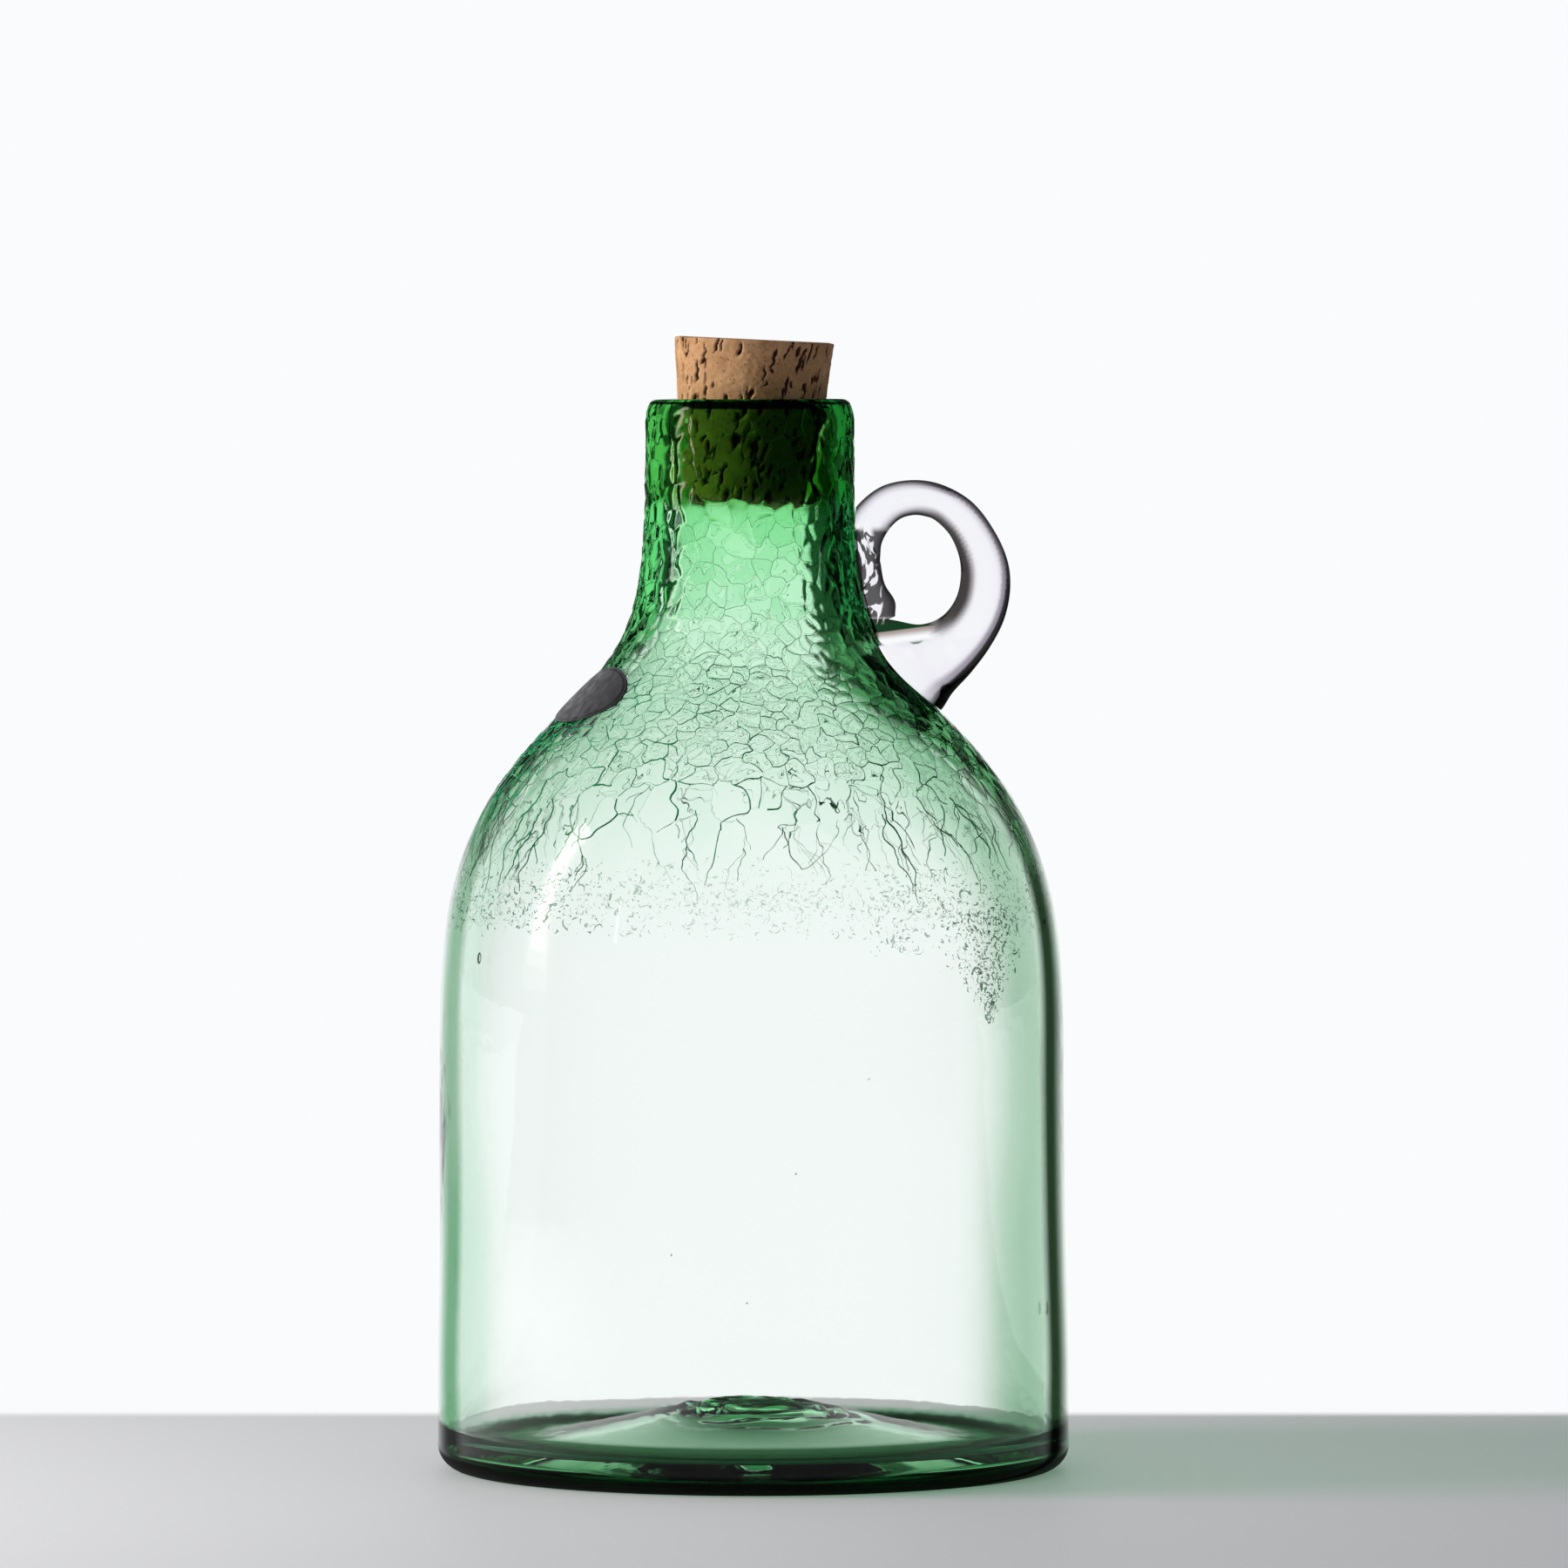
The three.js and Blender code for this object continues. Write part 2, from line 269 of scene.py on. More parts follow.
light_room()
lay_table()
cream = (1.0, 0.93, 0.80)
soft_box_left, soft_box_front, soft_box_step = -0.72, -0.09, 0.01
soft_boxes = [(0.085, 0.50, 0.450, 10.0), (0.125, 0.55, 0.440, 2.6), (0.165, 0.60, 0.430, 1.5)]
for at, (width, tall, middle, glow) in enumerate(soft_boxes):
    add_soft_box(
        f"left_soft_box_{at}", (soft_box_left - soft_box_step * at, soft_box_front, middle),
        (width, tall), (0, soft_box_front, middle), width * tall * glow, cream)
add_soft_box("front_strip", (-0.709, -0.582, 0.375), (0.022, 0.19), (0, 0, 0.24), 0.045)
add_soft_box("key", (-0.83, -0.16, 0.50), (0.36, 0.50), (0, 0, 0.20), 8.6, mirrored=False)
bpy.context.scene.view_settings.view_transform = "Standard"
# Light passes the cracks of both walls, one behind another.
bpy.context.scene.cycles.transparent_max_bounces = 48


# The vessel: one gather of green glass blown into a thick-walled body with a pushed-up base.
# Hot, its top was dipped in water as far as the shoulder, which crazed the glass, and it was
# warmed again, so that each cell between the cracks has swollen into a small pillow.
body_radius = 0.0768
shoulder_radius = 0.0758
slope_radius = 0.0507
neck_radius = 0.0254
lip_radius = 0.0249
body_height = 0.0958
shoulder_height = 0.0836
flare_height = 0.0606
neck_height = 0.0200
shoulder_slope = math.radians(43.5)
heel_radius = 0.0063
foot_ring_width = 0.0080
lip_rounding = 0.0024
body_wall, neck_wall = 0.0050, 0.0068
base_thickness = 0.0075
floor_fillet = 0.0022
floor_rise = 0.0090
punt_rise = 0.0086
pontil_radius, pontil_height, pontil_edge = 0.0210, 0.0009, 0.0030
mouth_radius = 0.01832
lean_share, lean_pivot = 0.0038, 0.130
shoulder_shares, flare_shares = np.array([0.44, 0.427]), np.array([0.436, 0.656])

shoulder_top = body_height + shoulder_height
neck_foot = shoulder_top + flare_height
rim = neck_foot + neck_height
around = 2 * math.pi


def bezier(points, steps):
    """Points of a Bezier curve of any degree at even steps, by repeated linear blends."""
    share = np.linspace(0, 1, steps + 1)[:, None, None]
    rows = np.broadcast_to(np.array(points, float), (steps + 1, len(points), 2))
    while rows.shape[1] > 1:
        rows = rows[:, :-1] * (1 - share) + rows[:, 1:] * share
    return rows[:, 0]


def arc(centre, radius, start, end, steps):
    """Points of a circle's arc between two angles."""
    angle = np.linspace(start, end, steps + 1)
    return np.stack(
        [centre[0] + radius * np.cos(angle), centre[1] + radius * np.sin(angle)], 1)


def joined(*pieces):
    """One run of points from several that meet end to end."""
    return np.concatenate([pieces[0], *[piece[1:] for piece in pieces[1:]]])


def outside_run():
    """The outer wall from the foot ring to the lip: heel arc, straight wall, shoulder curve,
    flare curve, neck and rounded lip. The two shares of a curve are how far the tangents at its
    ends reach."""
    along = np.array([math.sin(shoulder_slope), -math.cos(shoulder_slope)])
    slope = np.array([slope_radius, shoulder_top])
    heel_top, body_top = (body_radius, heel_radius), (shoulder_radius, body_height)
    neck_start, neck_end = (neck_radius, neck_foot), (neck_radius, rim - 2 * lip_rounding)
    lower, upper = shoulder_shares * shoulder_height
    before, after = flare_shares * flare_height
    return joined(
        arc((body_radius - heel_radius, heel_radius), heel_radius, -math.pi / 2, 0, 16),
        bezier([heel_top, body_top], 60),
        bezier([body_top, (shoulder_radius, body_height + lower), slope + along * upper, slope], 160),
        bezier([slope, slope - along * before, (neck_radius, neck_foot - after), neck_start], 160),
        bezier([neck_start, neck_end], 30),
        bezier([neck_end, (lip_radius, rim), (lip_radius - lip_rounding, rim)], 20),
    )


def lengths_along(run):
    """The distance along a run of points, from its first."""
    return np.concatenate([[0], np.cumsum(np.linalg.norm(np.diff(run, axis=0), axis=1))])


def normals_right(run):
    """Unit normals to the right of a run of points."""
    way = np.gradient(run, lengths_along(run), axis=0)
    normal = np.stack([way[:, 1], -way[:, 0]], 1)
    return normal / np.linalg.norm(normal, axis=1)[:, None]


outside = outside_run()
outside_length = lengths_along(outside)
outside_normal = normals_right(outside)
outside_turn = np.concatenate([[0], np.cumsum(
    np.diff(outside_length) / (0.5 * (outside[1:, 0] + outside[:-1, 0])))])


def turn_at(height):
    """How far along the outer wall a height is, as a turn."""
    return np.interp(height, outside[:, 1], outside_turn)


def on_wall(turn):
    """The outer wall's radius, height and two parts of its normal at a turn."""
    return (np.interp(turn, outside_turn, column) for column in (*outside.T, *outside_normal.T))


def radius_at(turn):
    """The outer wall's radius at a turn."""
    return np.interp(turn, outside_turn, outside[:, 0])


def height_at(turn):
    """The outer wall's height at a turn."""
    return np.interp(turn, outside_turn, outside[:, 1])


def radius_of(height):
    """The outer wall's radius at a height."""
    return np.interp(height, outside[:, 1], outside[:, 0])


def leaned(points):
    """The vessel's slight lean to the left: a shear of x with the height."""
    moved = points.copy()
    moved[..., 0] -= lean_share * (moved[..., 2] - lean_pivot)
    return moved


def on_outside(turn, bearing, lift):
    """Points over the outer wall. turn is the distance along it over the local radius, which makes
    the pair of turn and bearing a map without shear. lift is the height over the plain wall."""
    radius, height, lean_out, lean_up = on_wall(turn)
    reach, z = radius + lean_out * lift, height + lean_up * lift
    return leaned(np.stack([reach * np.cos(bearing), reach * np.sin(bearing), z], -1))


def smooth(value, low, high):
    """0 up to low, 1 from high on, and smooth between them."""
    share = np.clip((value - low) / (high - low), 0, 1)
    return share * share * (3 - 2 * share)


def waves(points, size, seed, count=14):
    """A smooth random field from -1 to 1: the mean of plane waves in all directions, each about
    one size long."""
    draw = np.random.default_rng(seed)
    ways = draw.normal(size=(count, 3))
    ways /= np.linalg.norm(ways, axis=1)[:, None]
    pace = around / (size * draw.uniform(0.7, 1.5, count))
    shift = draw.uniform(0, around, count)
    return np.sin(points @ (ways * pace[:, None]).T + shift).mean(-1) * math.sqrt(count) / 1.5


# How wide and how tall a cell of the craze is at each height, in metres.
craze_heights = [0.134, 0.150, 0.160, 0.170, 0.178, 0.195, 0.205, 0.215, 0.262]
craze_widths = [0.0084, 0.0082, 0.0075, 0.0062, 0.0050, 0.0046, 0.0046, 0.0052, 0.0060]
craze_falls = [0.0340, 0.0320, 0.0180, 0.0066, 0.0034, 0.0026, 0.0032, 0.0044, 0.0056]
craze_top, craze_foot = 0.2585, 0.1360


def plant_cells(seed, crowding, top, foot):
    """The middles of cells, as bearing and turn, in rows round the glass with random shifts.
    Crowding is how many times narrower and lower than the table's they are."""
    draw = np.random.default_rng(seed)
    rows = []
    turn, lowest = turn_at(top), turn_at(foot)
    while turn > lowest:
        height, radius = height_at(turn), radius_at(turn)
        fall = np.interp(height, craze_heights, craze_falls) / radius / crowding
        width = np.interp(height, craze_heights, craze_widths) / crowding
        count = round(around * radius / width)
        bearing = around * (np.arange(count) + draw.uniform(-0.36, 0.36, count)) / count
        shift = draw.uniform(0, around)
        rows.append(np.stack([
            (bearing + shift) % around, turn + fall * draw.uniform(-0.42, 0.42, count)], 1))
        turn -= fall
    return np.concatenate(rows)


def wrapped(values, bearing, step):
    """Values of cells with those of a strip beside each edge of the map added beyond the other
    edge, a step away."""
    return np.concatenate([
        values, values[bearing < overlap] + step, values[bearing > around - overlap] - step])


overlap, search_reach = 0.9, 0.045
cells = plant_cells(11, 1.0, craze_top, craze_foot)
whole_turn = np.array([around, 0])
wrapped_cells = wrapped(cells, cells[:, 0], whole_turn)


def near_cells(bearing, turn):
    """For a row of points of the map: the distance to the nearest border between two cells, in
    metres, and which cell a point is in. Where the nearest two middles lie g apart, and the
    squares of the distances to them differ by d, the border is d / 2g away."""
    border, owner = np.empty(len(turn)), np.empty(len(turn), int)
    order = np.argsort(turn, kind="stable")
    for part in np.array_split(order, max(1, len(turn) // 700)):
        low, high = turn[part].min(), turn[part].max()
        reach = search_reach / radius_at(0.5 * (low + high))
        close = np.flatnonzero(
            (wrapped_cells[:, 1] > low - reach) & (wrapped_cells[:, 1] < high + reach))
        if len(close) < 2:
            border[part], owner[part] = 1, 0
            continue
        there = wrapped_cells[close]
        apart = (
            (bearing[part, None] - there[:, 0]) ** 2 + (turn[part, None] - there[:, 1]) ** 2)
        first, second = np.argpartition(apart, 1, axis=1)[:, :2].T
        rows = np.arange(len(part))
        swap = apart[rows, first] > apart[rows, second]
        first, second = np.where(swap, second, first), np.where(swap, first, second)
        near, next_near = apart[rows, first], apart[rows, second]
        gap = np.linalg.norm(there[first] - there[second], axis=1)
        border[part] = radius_at(turn[part]) * (next_near - near) / (2 * gap)
        owner[part] = close[first]
    return border, owner


pillow_swell = 0.00024
groove_depth, groove_width = 0.00010, 0.00035
pillow_edge, pillow_drop, flare_lift = 0.0010, 0.6 * pillow_swell, 0.62
cell_tilt, highest_lift = 0.018, 0.00028
lift_heights, lip_fade_heights = (0.146, 0.176), (0.2545, 0.2585)
neck_lift_heights = (0.195, 0.215)
warp_size, warp_reach = 0.006, 0.0011


def warped(bearing, turn):
    """The map's points moved a little by smooth random fields, so that the borders wander."""
    radius = radius_at(turn)
    there = on_outside(turn, bearing, 0)
    aside = warp_reach * waves(there, warp_size, 21) / radius
    along = warp_reach * waves(there, warp_size, 22) / radius
    return bearing + aside, turn + along


def craze_lift(bearing, turn):
    """The height of the crazed glass over the plain wall: a pillow in each cell that is tilted a
    little, with a groove at the border, fading out down the shoulder and at the lip."""
    grid, bearing, turn = turn.shape, bearing.ravel(), turn.ravel()
    shifted_bearing, shifted_turn = warped(bearing, turn)
    border, owner = near_cells(shifted_bearing, shifted_turn)
    draw = np.random.default_rng(12)
    tilt_of = wrapped(draw.normal(size=(len(cells), 2)), cells[:, 0], 0)[owner]
    radius = radius_at(turn)
    from_middle = np.stack([shifted_bearing, shifted_turn], 1) - wrapped_cells[owner]
    tilt = cell_tilt * radius * (tilt_of * from_middle).sum(1)
    swell = pillow_swell * (1 - np.exp(-border / pillow_edge))
    swell += tilt * (1 - np.exp(-border / groove_width))
    groove = groove_depth * np.exp(-((border / groove_width) ** 2))
    height = height_at(turn)
    strength = smooth(height, *lift_heights) * (
        flare_lift + (1 - flare_lift) * smooth(height, *neck_lift_heights))
    strength *= 1 - smooth(height, *lip_fade_heights)
    lift = np.minimum(strength * (swell - pillow_drop - groove), highest_lift)
    return lift.reshape(grid)


def cell_shade(bearing, turn):
    """A random tone for each cell of the craze, from 0 to 1, that the glass uses to paint light and
    shade on the pillows' facets.
    """
    _, owner = near_cells(*warped(bearing, turn))
    draw = np.random.default_rng(18)
    return wrapped(draw.uniform(size=len(cells)), cells[:, 0], 0)[owner]


columns_outside, columns_inside = 360, 120
underside_step, inside_step = 0.0014, 0.0026
waver_reach, waver_size, waver_heights = 0.00022, 0.070, (0.01, 0.03)
row_heights = [0.0064, 0.0072, 0.095, 0.125, 0.150, 0.168, 0.176, 0.215, 0.2535, 0.260]
row_steps = [0.0012, 0.0080, 0.0060, 0.0030, 0.0018, 0.0010, 0.00069, 0.00069, 0.0007, 0.0005]


def spaced_rows(run, heights, steps):
    """Places along a run whose spacing is read from a table of heights."""
    length = lengths_along(run)
    step = np.interp(run[:, 1], heights, steps)
    pace = np.concatenate([[0], np.cumsum(np.diff(length) / (0.5 * (step[1:] + step[:-1])))])
    return np.interp(np.linspace(0, pace[-1], round(pace[-1]) + 1), pace, length)


def bearings(count):
    """Even bearings all the way round."""
    return around * np.arange(count) / count


def spun(run, columns):
    """A run of radius and height turned about the axis, as rings of points."""
    bearing = bearings(columns)
    return np.stack([
        run[:, :1] * np.cos(bearing), run[:, :1] * np.sin(bearing),
        np.repeat(run[:, 1:], columns, axis=1)], -1)


def wall_grid(columns, every=1):
    """The turns and bearings of a grid on the outer wall, whose rows are close where the table of
    heights says so."""
    places = spaced_rows(outside, row_heights, row_steps)[::every]
    turn = np.interp(places, outside_length, outside_turn)
    return np.meshgrid(turn, bearings(columns), indexing="ij")


def outer_rings():
    """The rings of the outer wall above the heel, with the craze, and the tone of its cells, which
    paints light and shade on the pillows' facets.
    """
    turn, bearing = wall_grid(columns_outside)
    lift = craze_lift(bearing, turn)
    points = on_outside(turn, bearing, 0)
    swing = waver_reach * waves(points, waver_size, 31) * smooth(points[..., 2], *waver_heights)
    return on_outside(turn, bearing, lift + swing), cell_shade(bearing.ravel(), turn.ravel())


def underside_run():
    """The underside from the axis to the foot ring: the pontil scar, and the pushed-up punt."""
    ring = body_radius - heel_radius - foot_ring_width
    flat_end, scar = (pontil_radius - pontil_edge, punt_rise), punt_rise - pontil_height
    return joined(
        np.array([[0.0008, punt_rise], flat_end]),
        bezier([flat_end, (pontil_radius - 0.0016, scar), (pontil_radius, scar)], 8),
        bezier([
            (pontil_radius, scar), (0.52 * ring, 0.58 * punt_rise), (0.74 * ring, 0.0), (ring, 0.0),
        ], 40),
    )


def inside_run():
    """The inside from the rim to the floor's middle: bore, shoulder, wall, fillet and floor."""
    curved = (outside[:, 1] > body_height) & (outside[:, 1] < neck_foot)
    wall = np.interp(outside[curved, 1], [body_height, neck_foot], [body_wall, neck_wall])
    skin = (outside[curved] - outside_normal[curved] * wall[:, None])[::-1]
    inner_body, crown = body_radius - body_wall, base_thickness + floor_rise
    fillet_centre = (inner_body - floor_fillet, base_thickness + floor_fillet)
    bore_top = (mouth_radius, rim - lip_rounding)
    return joined(
        bezier([(mouth_radius + lip_rounding, rim), (mouth_radius, rim), bore_top], 8),
        np.array([bore_top, (skin[0, 0], neck_foot)]),
        np.concatenate([[skin[0]], skin]),
        np.array([skin[-1], (inner_body, fillet_centre[1])]),
        arc(fillet_centre, floor_fillet, 0, -math.pi / 2, 10),
        bezier([
            (inner_body - floor_fillet, base_thickness), (0.58 * inner_body, base_thickness),
            (0.36 * inner_body, crown), (0.0008, crown),
        ], 60),
    )


def even_run(run, step):
    """The same run with points at even distances."""
    length = lengths_along(run)
    places = np.linspace(0, length[-1], round(length[-1] / step) + 1)
    return np.stack([np.interp(places, length, run[:, k]) for k in (0, 1)], 1)


fold_middle, fold_spacing, fold_wander, fold_end = 0.002, 0.0060, 3.2, (0.016, 0.030)
under_fold, floor_fold = 0.00040, 0.00055


def swirl(points, seed):
    """Rings and folds round the punt's crown, left by the rod that held the base, from about -2 to
    2: sine rings whose centres wander with the bearing, and none of them far from the middle."""
    away = np.hypot(points[..., 0] - fold_middle, points[..., 1])
    wander = waves(points, 0.022, seed)
    rings = np.sin(around * away / fold_spacing + fold_wander * wander)
    return (rings + 0.9 * wander) * (1 - smooth(away, *fold_end))


def skin_faces(rings):
    """Faces between rings that follow each other: quads where two rings have as many points, and
    fans where one has a whole number of times as many as the other or is a single point."""
    faces = []
    counts = [len(ring) for ring in rings]
    starts = np.concatenate([[0], np.cumsum(counts)])
    for lower, upper, a, b in zip(counts, counts[1:], starts, starts[1:]):
        many, few, p, q = (lower, upper, a, b) if lower > upper else (upper, lower, b, a)
        here = np.arange(many)
        after = (here + 1) % many
        if lower == upper:
            faces += np.stack([a + here, a + after, b + after, b + here], 1).tolist()
            continue
        ratio = many // few
        owner, last = ((here + shift + ratio // 2) // ratio % few for shift in (0, 1))
        fans = np.stack([p + here, p + after, q + owner], 1)
        gaps = np.stack([p + after, q + last, q + owner], 1)[owner != last]
        if lower < upper:
            fans, gaps = fans[:, [1, 0, 2]], gaps[:, ::-1]
        faces += fans.tolist() + gaps.tolist()
    return faces


def give_marks(mesh, marks):
    """Gives each point of the mesh its number under each name."""
    for name, values in marks.items():
        mesh.attributes.new(name, "FLOAT", "POINT").data.foreach_set(
            "value", np.asarray(values, np.float32))


def add_piece(name, points, faces, material, body, marks=None):
    """A smooth mesh piece of the carboy, with its finish and the body that it rides on."""
    piece = mesh_object(name, points, faces)
    mesh = piece.data
    mesh.polygons.foreach_set("use_smooth", np.ones(len(mesh.polygons), bool))
    give_marks(mesh, marks or {})
    mesh.materials.append(material)
    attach(piece, body)
    return piece


def vessel_rings():
    """All rings of the vessel, from the middle of the underside, up the outside, over the lip and
    down the inside to the middle of the floor."""
    crown = base_thickness + floor_rise
    under = spun(even_run(underside_run(), underside_step), columns_inside)
    under[..., 2] += under_fold * swirl(under, 41)
    floor = spun(even_run(inside_run(), inside_step), columns_inside)
    floor[..., 2] += np.where(floor[..., 2] < crown + 0.002, floor_fold * swirl(floor, 42), 0)
    outer, shade = outer_rings()
    rings = [
        np.array([[0, 0, punt_rise]]), *under[:-1], *outer, *floor, np.array([[0, 0, crown]])]
    floor_count = 1 + len(floor) - int(np.argmax(floor[:, 0, 2] < base_thickness + 0.001))
    before, after = sum(map(len, rings[:len(under)])), sum(map(len, rings[len(under) + len(outer):]))
    shade = np.concatenate([np.zeros(before), shade, np.zeros(after)])
    return rings, len(under), len(outer), floor_count, shade


def ring_marks(rings, first, last):
    """1 for the points of the rings from the first to before the last, and 0 for all others."""
    return np.concatenate([
        np.full(len(ring), float(first <= at < last)) for at, ring in enumerate(rings)])


glass_ior = 1.52
absorb_colour, absorb_density = (0.10, 0.93, 0.28, 1), 6.0
# The tint deepens where the gather was thick, at the base and up the neck. Its stops over the cork
# are painted shade, darkening the cork seen through the neck, and the near-black stops at the lip
# paint a dark line there.
tint_heights = [
    0.0, 0.0045, 0.0065, 0.0090, 0.125, 0.165, 0.203, 0.216, 0.232, 0.238, 0.2574, 0.2578,
    0.2592, 0.2600,
]
tint_colours = [
    (0.01, 0.12, 0.04), (0.02, 0.18, 0.07), (0.45, 0.80, 0.58), (1.0, 1.0, 1.0),
    (1.0, 1.0, 1.0), (0.97, 1.0, 0.98), (0.86, 1.0, 0.89), (0.80, 1.0, 0.84),
    (0.60, 0.95, 0.66), (0.20, 0.52, 0.14), (0.16, 0.46, 0.12), (0.004, 0.016, 0.004),
    (0.004, 0.016, 0.004), (0.20, 0.50, 0.25),
]
# Painted shade multiplied into the tint: on the crazed slope and its pillows, and at the body's
# sides, darker on the right.
slope_painted_shade = (0.56, 0.84, 0.64, 1)
side_left_shade, side_right_shade = (0.56, 0.79, 0.64, 1), (0.32, 0.54, 0.375, 1)
# Painted shade and light for the refraction at the glass's edges: dark on the neck and flare with
# bright green patches, duller on the handle's side, and dark on the body, darkest on the right.
neck_painted_shade, neck_painted_light = (0.010, 0.075, 0.022, 1), (0.20, 0.78, 0.28, 1)
neck_right_painted_light = (0.03, 0.33, 0.10, 1)
flare_painted_shade, flare_painted_light = (0.020, 0.075, 0.026, 1), (0.13, 0.38, 0.17, 1)
left_painted_shade, right_painted_shade = (0.06, 0.32, 0.12, 1), (0.010, 0.035, 0.010, 1)
# The heel's refraction: deep green from the thick glass, darkened further as painted shade for a dark
# table seen through it.
heel_green_and_shade = (0.008, 0.11, 0.038, 1)
# Painted light on the left of the cork seen through the neck.
cork_left_painted_light = (0.42, 0.78, 0.30, 1)
# Painted shade: a near-black line at the lip.
lip_painted_shade = (0.002, 0.012, 0.003, 1)
# Painted shade: the dark green refraction in front of the cork.
cork_tint_painted_shade = (0.34, 0.60, 0.24, 1)
# The underside's tint: deep green at the crown, from the thick glass and as painted shade for a dark
# table seen through it, pale on the flanks and green again at the foot ring.
under_green_and_shade, under_flank, under_ring = (
    (0.03, 0.40, 0.13, 1), (0.62, 0.90, 0.72, 1), (0.10, 0.40, 0.20, 1))
# Painted light and shade on the inside floor: pale on the crown's flanks, and dark and bright green
# streaks along the swirl.
floor_flank_painted_light = (0.66, 0.88, 0.74, 1)
floor_painted_shade, floor_painted_light = (0.010, 0.090, 0.032, 1), (0.38, 1.0, 0.50, 1)
lamp_tint = (0.86, 0.95, 0.89, 1)
# The heights, and the places to the right, from where a part of the glass begins to where it is
# full, in metres.
crazed_heights, above_heights, neck_heights = (0.128, 0.172), (0.140, 0.172), (0.198, 0.212)
low_heights, heel_heights = (0.055, 0.095), (0.0040, 0.0070)
left_rise_heights, right_rise_heights = (0.185, 0.215), (0.160, 0.215)
lip_foot_heights, lip_top_heights = (0.2574, 0.2578), (0.2592, 0.2596)
cork_foot_heights, cork_top_heights = (0.2345, 0.2385), (0.2550, 0.2572)
behind_cork_heights = (0.2335, 0.2375)
right_places, handle_places, cork_places = (-0.03, 0.06), (-0.01, 0.02), (-0.017, 0.000)
# The distances from the middle of the base, in metres.
crown_places, punt_places, flank_ends, ring_places = (
    (0.018, 0.030), (0.018, 0.034), (0.046, 0.056), (0.050, 0.058))
base_oval, streak_pace = (1.0, 0.62, 1.0), (260.0, 260.0, 70.0)
# How far the glass has turned edge on where a share begins and where it is full. Light that meets
# the skin from inside beyond the first pair is all thrown back.
reflecting, inner_clear, front_clear = (0.12, 0.24), (0.15, 0.60), (0.02, 0.26)
rim_end, line_start, line_end = (0.86, 0.98), (0.60, 0.69), (0.73, 0.93)
lip_turn, slope_turn, floor_turn, cork_turn = (0.15, 0.40), (0.12, 0.64), (0.30, 0.60), (0.19, 0.26)
corner_rise = 0.0011


def refraction(start, colour, ior):
    """Light that passes the surface, bent and coloured, with nothing mirrored."""
    values = {"Color": colour, "Roughness": 0.0, "IOR": ior}
    return start.node("ShaderNodeBsdfRefraction", None, values)


def lamps_through(start, glass, tint):
    """Glass that lamps shine through as if it were no more than tinted."""
    open_glass = start.node("ShaderNodeBsdfTransparent", None, {"Color": tint})
    return start.ray("Shadow").mix(glass, open_glass)


